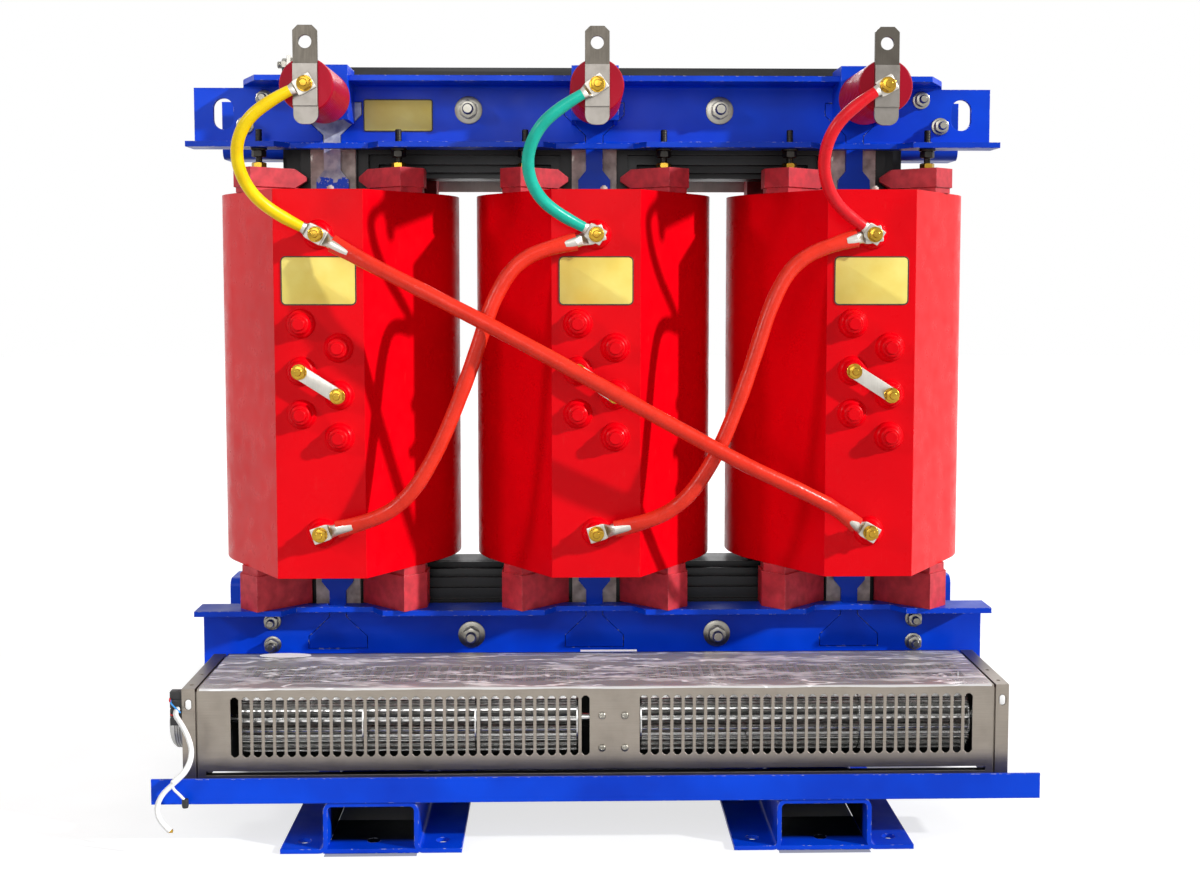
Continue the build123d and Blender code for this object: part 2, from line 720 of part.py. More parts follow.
# Skids, legs and rails
def make_foot(x):
    """A hat-section skid of bent plate, with an inner floor plate and holes at both ends."""
    t = FOOT_PLATE
    half, top = FOOT_HALF_WIDTH, FOOT_TOP_HALF
    hat = [
        (-half, 0), (-half, t), (-top, t), (-top, FOOT_HEIGHT), (top, FOOT_HEIGHT), (top, t), (half, t),
        (half, 0), (top - t, 0), (top - t, FOOT_HEIGHT - t), (t - top, FOOT_HEIGHT - t), (t - top, 0),
    ]
    foot = outline_xz([(x + dx, z) for dx, z in hat], -FOOT_HALF_LENGTH, FOOT_HALF_LENGTH)
    convex = [(x + dx, z) for dx, z in hat if (abs(dx), z) in ((top, FOOT_HEIGHT), (top - t, 0))]
    hollow = [(x + dx, z) for dx, z in hat if (abs(dx), z) in ((top, t), (top - t, FOOT_HEIGHT - t))]
    foot = round_bends(foot, Axis.Y, convex, FOOT_BEND)
    foot = round_bends(foot, Axis.Y, hollow, FOOT_BEND - t)
    floor_half = FOOT_TOP_HALF
    for end in (-1, 1):
        near = end * (FOOT_HALF_LENGTH - 110)
        foot += block(x - floor_half, x + floor_half, near, end * FOOT_HALF_LENGTH, 0, t)
        for dx in (-FLOOR_HOLE_OFFSET, 0, FLOOR_HOLE_OFFSET):
            foot -= rod_z(x + dx, end * FLOOR_HOLE_Y, -1, t + 1, FLOOR_HOLE_R)
    return foot


def make_support_leg(x):
    """A bent channel that stands on a skid and carries a bottom clamp."""
    low, high = FOOT_HEIGHT, BOTTOM_CLAMP_Z[0]
    back, front = -CLAMP_INNER_Y, -CLAMP_INNER_Y - LEG_DEPTH
    t, half = FOOT_PLATE, LEG_HALF_WIDTH
    leg = block(x - half, x + half, front, back, low, high)
    return leg - block(x - half + t, x + half - t, front - 1, back - t, low + t, high - t)


def make_rail(half, heel, edge):
    """An angle rail: a flat leg on the skids, and an upright leg along its heel."""
    t = RAIL_PLATE
    inward = math.copysign(t, edge - heel)
    rail = block(-half, half, heel, edge, FOOT_HEIGHT, FOOT_HEIGHT + t)
    return rail + block(-half, half, heel, heel + inward, FOOT_HEIGHT, RAIL_TOP_Z)


# Fans
def slot_row(first, count):
    """X of the slots of one group."""
    return [first + SLOT_PITCH * i for i in range(count)]


def slot_outline(centre, low, high):
    """An upright slot with chamfered ends."""
    half = SLOT_WIDTH / 2
    tip = half - SLOT_CHAMFER
    return [
        (centre - half, low + SLOT_CHAMFER),
        (centre - tip, low),
        (centre + tip, low),
        (centre + half, low + SLOT_CHAMFER),
        (centre + half, high - SLOT_CHAMFER),
        (centre + tip, high),
        (centre - tip, high),
        (centre - half, high - SLOT_CHAMFER),
    ]


def make_fan_housing():
    """The folded sheet housing: slotted front and top, a sill strip, and a middle bearing."""
    near, far = FAN_Y
    half = FAN_HALF_LENGTH
    inside = FAN_SHEET
    floor = FAN_BOTTOM_Z + inside
    housing = block(-half, half, -far, -near, FAN_BOTTOM_Z, FAN_TOP_Z)
    housing -= block(-half - 1, half + 1, inside - far, -near - inside, floor, FAN_TOP_Z - inside)
    slots = []
    for x in slot_row(*LEFT_SLOTS) + slot_row(*RIGHT_SLOTS):
        slots.append(outline_xz(slot_outline(x, *SLOT_Z), -far - 1, inside + 1 - far))
        left = x - SLOT_WIDTH / 2
        right = x + SLOT_WIDTH / 2
        slots.append(block(left, right, *TOP_SLOT_Y, FAN_TOP_Z - inside - 1, FAN_TOP_Z + 1))
    housing -= slots
    housing += block(-half, half, -far, SILL_DEPTH - far, *SILL_Z)
    for end in (-half, half - SILL_END):
        housing += block(end, end + SILL_END, -far, SILL_DEPTH - far, SILL_Z[0], FAN_BOTTOM_Z)
    left = MIDDLE_BEARING_X - BEARING_HALF
    right = MIDDLE_BEARING_X + BEARING_HALF
    cheek = 14.0
    bearing = block(left, right, -ROTOR_Y - cheek, cheek - ROTOR_Y, floor, ROTOR_Z + cheek)
    return housing + (bearing - shaft_bore(left, right))


def shaft_bore(x0, x1):
    """Cutter for a bore in which a rotor's shaft runs."""
    return rod_x(x0 - 1, x1 + 1, -ROTOR_Y, ROTOR_Z, SHAFT_R + RUNNING_GAP)


def make_end_box(side):
    """A closed end box, bored for the shaft, with a neck that leaves a gap to the housing."""
    near, far = FAN_Y
    end = side * FAN_HALF_LENGTH
    inner = side * (FAN_HALF_LENGTH + FAN_END_GAP)
    outer = side * FAN_OUTER_X
    inset = END_NECK_INSET
    box = block(inner, outer, -far, -near, FAN_FOOT_Z, FAN_TOP_Z)
    box += block(end, inner, inset - far, -near - inset, FAN_FOOT_Z, FAN_TOP_Z - inset)
    middle = (inner + outer) / 2
    recess = outline_xz(slot_outline(middle, *END_SLOT_Z), -far - 1, END_RECESS - far)
    holes = [rod_z(middle, y, FAN_TOP_Z - END_RECESS, FAN_TOP_Z + 1, 3) for y in END_HOLES_Y]
    return box - [recess, *holes, shaft_bore(min(end, outer), max(end, outer))]


def make_fan_motor():
    """The motor outside the left end box, dished at its end, with its shaft seat."""
    profile = [(0, 0), (MOTOR_R, 0), (MOTOR_R, -16), (MOTOR_R - 8, -24), (0, -24)]
    body = revolve(make_face(Polyline(*[(x, y, 0) for y, x in profile], close=True)), Axis.X, 360)
    motor = Pos(-FAN_OUTER_X, -ROTOR_Y, ROTOR_Z) * body
    return motor - shaft_bore(SHAFT_LEFT_X, -FAN_OUTER_X)


def make_rotor():
    """Two squirrel-cage drums on one shaft: discs and rings joined by curved blades."""
    rotor = rod_x(SHAFT_LEFT_X, SHAFT_RIGHT_X, 0, 0, SHAFT_R)
    tip = ROTOR_R - 1.5
    waist = (ROTOR_R + ROTOR_INNER_R) / 2
    curve = [
        (0, ROTOR_INNER_R),
        (BLADE_SWEEP * 0.8, waist),
        (BLADE_SWEEP, tip),
        (BLADE_SWEEP + BLADE_PLATE, tip),
        (BLADE_SWEEP * 0.8 + BLADE_PLATE, waist),
        (BLADE_PLATE, ROTOR_INNER_R),
    ]
    pieces = []
    for first, *rings, last in DRUMS:
        profile = make_face(Polyline(*[(first, y, z) for y, z in curve], close=True))
        blade = extrude(profile, last - first, dir=(1, 0, 0))
        pieces += [Rot(360 * i / BLADES, 0, 0) * blade for i in range(BLADES)]
        for x in (first, last):
            pieces.append(rod_x(x - DISC_PLATE / 2, x + DISC_PLATE / 2, 0, 0, ROTOR_R))
        for x in rings:
            ring = rod_x(x - DISC_PLATE / 2, x + DISC_PLATE / 2, 0, 0, ROTOR_R)
            pieces.append(ring - rod_x(x - DISC_PLATE, x + DISC_PLATE, 0, 0, ROTOR_INNER_R - 2))
    return Pos(0, -ROTOR_Y, ROTOR_Z) * (rotor + pieces)


def make_terminal_block():
    """The fan's terminal block beside the left end box."""
    return block(-FAN_OUTER_X - 17, -FAN_OUTER_X, -FAN_Y[1] + 2, -FAN_Y[1] + 17, 165, 212)


# Low-voltage side
def bent_bar(x0, x1, run):
    """A flat bar of a given width, bent to a closed outline in Y and Z."""
    face = make_face(Polyline(*[(x0, y, z) for y, z in run], close=True))
    return extrude(face, x1 - x0, dir=(1, 0, 0))


def make_line_bar(x):
    """The bar of one phase: up from the coil, out under the clamp and up behind it."""
    t = LV_BAR_PLATE
    foot, back, shelf = LV_FOOT_Y, LINE_BAR_Y, LINE_BAR_SHELF_Z
    run = [
        (foot, LV_Z[1]), (foot + t, LV_Z[1]), (foot + t, shelf), (back + t, shelf),
        (back + t, LINE_BAR_TOP_Z), (back, LINE_BAR_TOP_Z), (back, shelf + t), (foot, shelf + t),
    ]
    left, right = (x + dx for dx in LINE_BAR_X)
    middle = (left + right) / 2
    holes = [rod_y(middle, back - 1, back + t + 1, z, LV_HOLE_R) for z in LINE_HOLES_Z]
    return bent_bar(left, right, run) - holes


def make_star_bar():
    """The star bar in five solids: bar, neutral upright with its ear, and a link to each coil."""
    t = LV_BAR_PLATE
    foot, back, shelf = LV_FOOT_Y, STAR_BAR_Y, STAR_LINK_SHELF_Z
    run = [
        (foot, LV_Z[1]), (foot + t, LV_Z[1]), (foot + t, shelf), (back, shelf),
        (back, shelf + t), (foot, shelf + t),
    ]
    left, right = NEUTRAL_X
    bar = block(right, STAR_BAR_END_X, back, back + t, *STAR_BAR_Z)
    upright = block(left, right, back, back + t, STAR_BAR_Z[0], NEUTRAL_TOP_Z)
    upright += block(left, left + t, NEUTRAL_EAR_Y, back, NEUTRAL_EAR_Z, NEUTRAL_TOP_Z)
    upright -= rod_x(left - 1, left + t + 1, *NEUTRAL_HOLE, LV_HOLE_R)
    links = [bent_bar(x + STAR_LINK_X[0], x + STAR_LINK_X[1], run) for x in PHASES.values()]
    return [bar, upright, *links]


def make_lv_supports():
    """Insulating blocks that hold the bars off the rear top clamp."""
    supports = [
        block(x + LINE_BAR_X[0], x + LINE_BAR_X[1], CLAMP_FLANGE_Y, LINE_BAR_Y, *LINE_SUPPORT_Z)
        for x in PHASES.values()
    ]
    supports.append(block(*NEUTRAL_X, CLAMP_FLANGE_Y, STAR_BAR_Y, *NEUTRAL_SUPPORT_Z))
    return supports


def write_fans():
    """Write the nodes of both fan units and of the rails under them."""
    housing = make_fan_housing()
    rotor = make_rotor()
    rails = [make_rail(*OUTER_RAIL), make_rail(*INNER_RAIL)]
    write("front_rails", *rails)
    write("rear_rails", *[to_rear(rail) for rail in rails])
    write("fan_front_housing", housing)
    write("fan_rear_housing", to_rear(housing))
    write("fan_front_rotor", rotor)
    write("fan_rear_rotor", to_rear(rotor))
    boxes = [make_end_box(-1), make_end_box(1)]
    write("fan_end_boxes", *boxes, *[to_rear(box) for box in boxes])
    motor = make_fan_motor()
    write("fan_motors", motor, to_rear(motor))
    terminal_block = make_terminal_block()
    write("fan_terminal_blocks", terminal_block, to_rear(terminal_block))


def main():
    """Build and write every node."""
    write("core", make_core())
    top_clamp = make_top_clamp()
    write("top_clamp_front", top_clamp)
    write("top_clamp_rear", to_rear(top_clamp))
    bottom_clamp = make_bottom_clamp()
    write("bottom_clamp_front", bottom_clamp)
    write("bottom_clamp_rear", to_rear(bottom_clamp))
    ties = [make_tie_plate(x) for x in PHASES.values()]
    write("tie_plates", *ties, *[to_rear(tie) for tie in ties])
    boards = [make_tie_board(x) for x in PHASES.values()]
    write("tie_plate_boards", *boards, *[to_rear(board) for board in boards])
    for side, x in PHASES.items():
        write(f"hv_coil_{side}", make_hv_coil(x))
        write(f"lv_coil_{side}", make_lv_coil(x))
    write("coil_pads", *make_pads())
    write("press_screws", *make_press_screws())
    write("clamp_bolts", *make_clamp_bolts())
    write("insulator_brackets", *[make_bracket(x) for x in PHASES.values()])
    for side, x in PHASES.items():
        write(f"insulator_{side}", make_insulator(x))
        write(f"hv_terminal_{side}", make_hv_terminal(x))
        write(f"phase_lead_{side}", make_phase_lead(side, LEAD_OFFSETS[side]))
    write("brass_bolts", *make_brass_bolts())
    write("tap_links", *[make_tap_link(x) for x in PHASES.values()])
    write("delta_tubes", *make_delta_tubes())
    write("foot_left", make_foot(-FOOT_X))
    write("foot_right", make_foot(FOOT_X))
    legs = [make_support_leg(x) for x in (-FOOT_X, FOOT_X)]
    write("support_legs", *legs, *[to_rear(leg) for leg in legs])
    write_fans()
    write("fan_cable", tube_along("fan_cable", CABLE_ROUTE, CABLE_R))
    write("lv_line_bars", *[make_line_bar(x) for x in PHASES.values()])
    write("lv_star_bar", *make_star_bar())
    write("lv_supports", *make_lv_supports())


main()
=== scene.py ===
"""Looks of a cast-resin dry-type power transformer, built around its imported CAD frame."""
import logging
import math
import random
from dataclasses import dataclass
from enum import Enum
from typing import Callable, Sequence

import bmesh
import bpy
from mathutils import Matrix, Vector


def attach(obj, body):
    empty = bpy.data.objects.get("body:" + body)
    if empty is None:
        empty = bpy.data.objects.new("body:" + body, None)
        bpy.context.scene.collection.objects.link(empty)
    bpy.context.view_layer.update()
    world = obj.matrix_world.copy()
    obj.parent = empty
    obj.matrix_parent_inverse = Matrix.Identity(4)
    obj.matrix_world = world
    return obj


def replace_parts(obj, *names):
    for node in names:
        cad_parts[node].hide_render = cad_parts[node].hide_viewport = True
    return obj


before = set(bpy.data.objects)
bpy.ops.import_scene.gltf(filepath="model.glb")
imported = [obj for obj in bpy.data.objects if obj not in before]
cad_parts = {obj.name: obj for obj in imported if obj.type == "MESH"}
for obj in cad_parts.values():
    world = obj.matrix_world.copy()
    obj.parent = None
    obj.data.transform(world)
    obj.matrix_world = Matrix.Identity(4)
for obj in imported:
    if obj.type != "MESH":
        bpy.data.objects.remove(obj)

LOG = logging.getLogger("scene")
MM = 0.001
SPLINE_STEPS = 10
BODY = "transformer"
PHASES = {"left": -390.0, "centre": 0.0, "right": 390.0}
WAYS = {"front": -1, "rear": 1}
Point = tuple[float, float, float]
Profile = Sequence[tuple[float, float]]
Plane = Callable[[float, float, float], Point]
Ring = list[Vector]
Socket = bpy.types.NodeSocket

# Places shared by several pieces, in millimetres
POST_Z = 1031.0
POST_SEAT = -327.0
TAP_SEAT = -251.0
COIL_TOP_Z = 833.0
COIL_FOOT_Z = 411.0
TAPS = ((-26.0, 641.0), (27.0, 607.0))


class Axis(Enum):
    """Direction in which a turned or hexagonal piece points."""

    FRONT = (0.0, -1.0, 0.0)
    REAR = (0.0, 1.0, 0.0)
    UP = (0.0, 0.0, 1.0)
    DOWN = (0.0, 0.0, -1.0)
    LEFT = (-1.0, 0.0, 0.0)
    RIGHT = (1.0, 0.0, 0.0)


def linear(code: str) -> tuple[float, float, float, float]:
    """Convert a display colour to the linear values that a shader takes.

    Args:
        code: Six hexadecimal digits, such as "E0000F".

    Returns:
        Linear red, green and blue, and an alpha of 1.
    """
    values = [int(code[i : i + 2], 16) / 255 for i in (0, 2, 4)]
    return (*(v / 12.92 if v <= 0.04045 else ((v + 0.055) / 1.055) ** 2.4 for v in values), 1.0)


# Materials


class Graph:
    """The node tree of one material, with a Principled shader at its end."""

    def __init__(self, name: str) -> None:
        """Start a material.

        Args:
            name: Name of the material.
        """
        self.material = bpy.data.materials.new(name)
        self.material.use_nodes = True
        self.tree = self.material.node_tree
        self.shader = self.tree.nodes["Principled BSDF"]
        self.place = self.add("ShaderNodeTexCoord").outputs["Object"]

    def add(self, kind: str, inputs: dict | None = None, **settings: object) -> bpy.types.Node:
        """Add a node.

        Args:
            kind: Node type.
            inputs: Input name or number to a value, or to an output to link.
            settings: Properties of the node.

        Returns:
            The new node.
        """
        node = self.tree.nodes.new(kind)
        for key, value in settings.items():
            setattr(node, key, value)
        for key, value in (inputs or {}).items():
            if isinstance(value, Socket):
                self.tree.links.new(value, node.inputs[key])
            else:
                node.inputs[key].default_value = value
        return node

    def set(self, **values: object) -> None:
        """Set or link inputs of the Principled shader.

        Args:
            values: Input name, with spaces as underscores, to a value or an output.
        """
        for key, value in values.items():
            socket = self.shader.inputs[key.replace("_", " ")]
            if isinstance(value, Socket):
                self.tree.links.new(value, socket)
            else:
                socket.default_value = value

    def noise(self, size: float, detail: float = 3.0, stretch: Point = (1.0, 1.0, 1.0)) -> Socket:
        """Noise with features of a real size.

        Args:
            size: Size of a feature in millimetres.
            detail: Octaves of finer noise.
            stretch: How much longer a feature is along X, Y and Z.

        Returns:
            The noise value's output.
        """
        scale = tuple(1.0 / s for s in stretch)
        place = self.add("ShaderNodeMapping", {"Vector": self.place, "Scale": scale}).outputs[0]
        values = {"Vector": place, "Scale": 1 / (size * MM), "Detail": detail}
        return self.add("ShaderNodeTexNoise", values).outputs["Fac"]

    def ramp(self, value: Socket, low: float, high: float, start: float = 0.0, end: float = 1.0) -> Socket:
        """Map a range of a value to another range, clamped.

        Args:
            value: Output to map.
            low: Value that gives start.
            high: Value that gives end.
            start: First result.
            end: Last result.

        Returns:
            The mapped output.
        """
        inputs = {"Value": value, "From Min": low, "From Max": high, "To Min": start, "To Max": end}
        return self.add("ShaderNodeMapRange", inputs).outputs[0]

    def mix(self, factor: Socket, first: object, second: object) -> Socket:
        """Mix two colours.

        Args:
            factor: Output that runs from 0 for the first to 1 for the second.
            first: Colour code or output.
            second: Colour code or output.

        Returns:
            The mixed colour's output.
        """
        node = self.add("ShaderNodeMix", {"Factor": factor}, data_type="RGBA")
        for index, value in ((6, first), (7, second)):
            if isinstance(value, str):
                node.inputs[index].default_value = linear(value)
            else:
                self.tree.links.new(value, node.inputs[index])
        return node.outputs[2]

    def math(self, operation: str, first: object, second: object = 0.0) -> Socket:
        """Work out a value from two others.

        Args:
            operation: Name of the operation.
            first: Value or output.
            second: Value or output.

        Returns:
            The result's output.
        """
        return self.add("ShaderNodeMath", {0: first, 1: second}, operation=operation).outputs[0]

    def relief(self, height: Socket, depth: float, edge: float = 0.0) -> None:
        """Give the surface a relief, and rounded edges.

        Args:
            height: Output that runs from 0 to 1.
            depth: Depth of the relief in millimetres.
            edge: Radius of the rounded edges in millimetres.
        """
        inputs = {"Height": height, "Distance": depth * MM, "Strength": 1.0}
        if edge:
            round_edge = self.add("ShaderNodeBevel", {"Radius": edge * MM}, samples=4)
            inputs["Normal"] = round_edge.outputs[0]
        self.set(Normal=self.add("ShaderNodeBump", inputs).outputs[0])

    def coordinate(self, name: str) -> Socket:
        """One coordinate of the surface point.

        Args:
            name: X, Y or Z.

        Returns:
            Its output, in metres.
        """
        return self.add("ShaderNodeSeparateXYZ", {"Vector": self.place}).outputs[name]

    def distance(self, name: str) -> Socket:
        """How far the surface point lies from the middle, to either side along X, Y or Z."""
        return self.math("ABSOLUTE", self.coordinate(name))

    def all_of(self, *conditions: Socket) -> Socket:
        """An output that is 1 only where all the given ones are."""
        result = conditions[0]
        for condition in conditions[1:]:
            result = self.math("MULTIPLY", result, condition)
        return result

    def colour_so_far(self) -> Socket:
        """The output that drives the base colour now."""
        return self.shader.inputs["Base Color"].links[0].from_socket

    def edge_mask(self, radius: float) -> Socket:
        """Find the outer edges of a solid.

        Args:
            radius: Width of the band along an edge in millimetres.

        Returns:
            An output near 1 along edges and 0 on faces.
        """
        rounded = self.add("ShaderNodeBevel", {"Radius": radius * MM}, samples=4).outputs[0]
        flat = self.add("ShaderNodeNewGeometry").outputs["Normal"]
        dot = self.add("ShaderNodeVectorMath", {0: rounded, 1: flat}, operation="DOT_PRODUCT")
        return self.ramp(dot.outputs["Value"], 0.97, 0.80)


@dataclass(frozen=True)
class Finish:
    """Base of all finishes: a named material with one colour."""

    name: str
    colour: str

    def paint(self, graph: Graph) -> None:
        """Fill the node tree.

        Args:
            graph: The tree.
        """
        raise NotImplementedError

    def material(self) -> bpy.types.Material:
        """Make the material once, and return it.

        Returns:
            The material.
        """
        known = bpy.data.materials.get(self.name)
        if known:
            return known
        graph = Graph(self.name)
        self.paint(graph)
        LOG.info("material %s", self.name)
        return graph.material


@dataclass(frozen=True)
class Enamel(Finish):
    """Glossy paint on steel: orange peel, faint cloudiness, dust and chipped edges."""

    shade: str = "0028A0"
    chip: str = "B9BEC8"
    chips: float = 0.5

    def paint(self, graph: Graph) -> None:
        """Fill the node tree.

        Args:
            graph: The tree.
        """
        cloud = graph.ramp(graph.noise(120.0), 0.35, 0.7)
        base = graph.mix(cloud, self.colour, self.shade)
        broken = graph.ramp(graph.noise(7.0, 5.0), 0.52 + 0.1 * (1 - self.chips), 0.6)
        mask = graph.math("MULTIPLY", graph.edge_mask(1.6), broken)
        graph.set(Base_Color=graph.mix(mask, self.worn(graph, base), self.chip))
        graph.set(Roughness=graph.ramp(graph.noise(40.0), 0.3, 0.7, 0.3, 0.46))
        graph.set(Coat_Weight=0.05, Coat_Roughness=0.2, Specular_IOR_Level=0.14)
        graph.relief(graph.noise(2.2, 1.0), 0.035, 1.4)

    def worn(self, graph: Graph, base: Socket) -> Socket:
        """Colour laid over the paint: bare metal on the peeled tie plate, painted shade in the skid
        tunnels; none on plain enamel.

        Args:
            graph: The tree.
            base: Colour of the paint.

        Returns:
            The colour's output.
        """
        return base


@dataclass(frozen=True)
class PeeledEnamel(Enamel):
    """Enamel whose front left tie plate has lost its paint below the top clamp."""

    peel: str = "C4C8D4"
    stained: str = "8A92B0"
    side: float = -0.3
    line: float = 0.917
    fade: tuple[float, float] = (0.898, 0.915)
    ragged: float = 0.009

    def worn(self, graph: Graph, base: Socket) -> Socket:
        """Bare metal over a ragged line, dulled and scratched.

        Args:
            graph: The tree.
            base: Colour of the paint.

        Returns:
            The colour's output.
        """
        ragged = graph.ramp(graph.noise(9.0, 5.0), 0.3, 0.7, -self.ragged, self.ragged)
        height = graph.math("ADD", graph.coordinate("Z"), ragged)
        left = graph.math("LESS_THAN", graph.coordinate("X"), self.side)
        front = graph.math("LESS_THAN", graph.coordinate("Y"), 0.0)
        here = graph.all_of(graph.ramp(height, self.line, self.line + 0.0015), left, front)
        flecks = graph.ramp(graph.noise(3.0, 6.0), 0.6, 0.66, 0.0, 0.8)
        bare = graph.mix(graph.ramp(graph.noise(11.0, 5.0), 0.4, 0.7), self.peel, self.stained)
        flecked = graph.mix(flecks, base, self.peel)
        lower = graph.all_of(graph.ramp(height, *self.fade), left)
        return graph.mix(here, graph.mix(lower, base, flecked), bare)


@dataclass(frozen=True)
class Resin(Finish):
    """Cast epoxy: deep colour, soft gloss, slight waves of the mould and fine scuffs."""

    shade: str = "B00010"
    gloss: float = 0.3
    wave: float = 0.12
    shine: float = 0.1

    def paint(self, graph: Graph) -> None:
        """Fill the node tree.

        Args:
            graph: The tree.
        """
        cloud = graph.ramp(graph.noise(160.0, 2.0), 0.4, 0.75)
        base = graph.mix(cloud, self.colour, self.shade)
        scuff = graph.ramp(graph.noise(3.0, 6.0, (1.0, 1.0, 9.0)), 0.68, 0.8, 0.0, 0.08)
        graph.set(Base_Color=graph.mix(scuff, base, "F08078"))
        rough = graph.ramp(graph.noise(25.0, 4.0), 0.3, 0.7, self.gloss - 0.06, self.gloss + 0.1)
        graph.set(Roughness=rough, Specular_IOR_Level=self.shine)
        graph.relief(graph.noise(45.0, 2.0), self.wave, 1.0)


@dataclass(frozen=True)
class Metal(Finish):
    """Bare metal: brushed or rolled grain, stains and softened edges."""

    dark: str = "6A655E"
    rough: float = 0.34
    grain: Point = (60.0, 1.0, 1.0)
    stain: float = 0.35

    def paint(self, graph: Graph) -> None:
        """Fill the node tree.

        Args:
            graph: The tree.
        """
        lines = graph.noise(0.7, 3.0, self.grain)
        stains = graph.ramp(graph.noise(30.0, 5.0), 0.45, 0.75, 0.0, self.stain)
        base = graph.mix(stains, self.colour, self.dark)
        fine = graph.ramp(lines, 0.35, 0.65, 0.0, 0.18)
        graph.set(Base_Color=graph.mix(fine, base, self.dark), Metallic=1.0)
        graph.set(Roughness=graph.ramp(lines, 0.2, 0.8, self.rough - 0.07, self.rough + 0.1))
        graph.relief(lines, 0.01, 0.8)


@dataclass(frozen=True)
class BarMetal(Metal):
    """Metal of a bar, lighter on its face plate below a level and dark above it, where the dark is painted
    shade on the bar's upper part, which faces down.
    """

    level: float = 1058.5
    bright: str = "85807A"
    bright_stain: str = "67625B"

    def paint(self, graph: Graph) -> None:
        """Fill the node tree.

        Args:
            graph: The tree.
        """
        super().paint(graph)
        # Painted shade: above the level the bar keeps the darker base colour.
        above = graph.math("GREATER_THAN", graph.coordinate("Z"), self.level * MM)
        stains = graph.ramp(graph.noise(18.0, 5.0), 0.45, 0.75, 0.0, 0.5)
        face = graph.mix(stains, self.bright, self.bright_stain)
        graph.set(Base_Color=graph.mix(above, face, graph.colour_so_far()))


@dataclass(frozen=True)
class HousingMetal(Metal):
    """Sheet of the fan housings, with painted shade on its inner faces: near black and not metallic there.
    """

    inner_shade: str = "0A0908"
    outer: tuple[float, float, float] = (0.5436, 0.3434, 0.2144)
    inner_y: float = 0.1536

    def paint(self, graph: Graph) -> None:
        """Fill the node tree.

        Args:
            graph: The tree.
        """
        super().paint(graph)
        along, across, height = graph.distance("X"), graph.distance("Y"), graph.coordinate("Z")
        limits = zip((along, across, height), self.outer)
        within = [graph.math("LESS_THAN", value, limit) for value, limit in limits]
        inside = graph.all_of(graph.math("GREATER_THAN", across, self.inner_y), *within)
        # Painted shade: the inner faces turn near black and lose their metal sheen.
        graph.set(Base_Color=graph.mix(inside, graph.colour_so_far(), self.inner_shade))
        graph.set(Metallic=graph.math("SUBTRACT", 1.0, inside))


@dataclass(frozen=True)
class SkidEnamel(Enamel):
    """Enamel of the skids, with painted shade inside their tunnels."""

    skid_x: float = 0.306
    half: float = 0.0592
    top: float = 0.0648
    depth: float = 0.352
    blur: float = 0.006
    tunnel_shade: str = "00030C"

    def worn(self, graph: Graph, base: Socket) -> Socket:
        """Painted shade between the skid's walls, from a hand's width behind each mouth.

        Args:
            graph: The tree.
            base: Colour of the paint.

        Returns:
            The colour's output.
        """
        beside = graph.math("ABSOLUTE", graph.math("SUBTRACT", graph.distance("X"), self.skid_x))
        between = graph.math("LESS_THAN", beside, self.half)
        below = graph.math("LESS_THAN", graph.coordinate("Z"), self.top)
        deep = graph.ramp(graph.distance("Y"), self.depth + self.blur, self.depth - self.blur)
        # Painted shade: near-black colour inside each tunnel.
        return graph.mix(graph.all_of(between, below, deep), base, self.tunnel_shade)


@dataclass(frozen=True)
class Laminate(Finish):
    """Core steel: stacked sheets seen edge-on along Y, under black lacquer."""

    def paint(self, graph: Graph) -> None:
        """Fill the node tree.

        Args:
            graph: The tree.
        """
        sheets = graph.noise(1.1, 2.0, (400.0, 1.0, 400.0))
        runs = graph.ramp(graph.noise(35.0, 4.0), 0.45, 0.7)
        graph.set(Base_Color=graph.mix(runs, self.colour, "141519"), Specular_IOR_Level=0.35)
        graph.set(Roughness=graph.ramp(sheets, 0.3, 0.7, 0.28, 0.55))
        graph.relief(sheets, 0.25, 0.6)


@dataclass(frozen=True)
class Board(Finish):
    """Pressed insulating board or moulded resin: matt, mottled, worn at its edges."""

    shade: str = "9A9690"
    worn: str = "D8D2C8"
    grit: float = 5.0

    def paint(self, graph: Graph) -> None:
        """Fill the node tree.

        Args:
            graph: The tree.
        """
        mottle = graph.ramp(graph.noise(self.grit * 3, 5.0), 0.35, 0.7)
        base = graph.mix(mottle, self.colour, self.shade)
        broken = graph.ramp(graph.noise(4.0, 4.0), 0.45, 0.6)
        mask = graph.math("MULTIPLY", graph.edge_mask(2.0), broken)
        graph.set(Base_Color=graph.mix(mask, base, self.worn))
        graph.set(Roughness=graph.ramp(mottle, 0.0, 1.0, 0.48, 0.62))
        graph.relief(graph.noise(self.grit, 4.0), 0.15, 1.2)


def seen_straight(tree: bpy.types.NodeTree) -> Socket:
    """Whether a ray comes from the camera, a mirror or glass.

    Args:
        tree: Tree that needs it.

    Returns:
        An output that is 1 or 0.
    """
    path = tree.nodes.new("ShaderNodeLightPath")
    seen = path.outputs["Is Camera Ray"]
    for name in ("Is Glossy Ray", "Is Transmission Ray"):
        either = tree.nodes.new("ShaderNodeMath")
        either.operation = "MAXIMUM"
        tree.links.new(seen, either.inputs[0])
        tree.links.new(path.outputs[name], either.inputs[1])
        seen = either.outputs[0]
    return seen


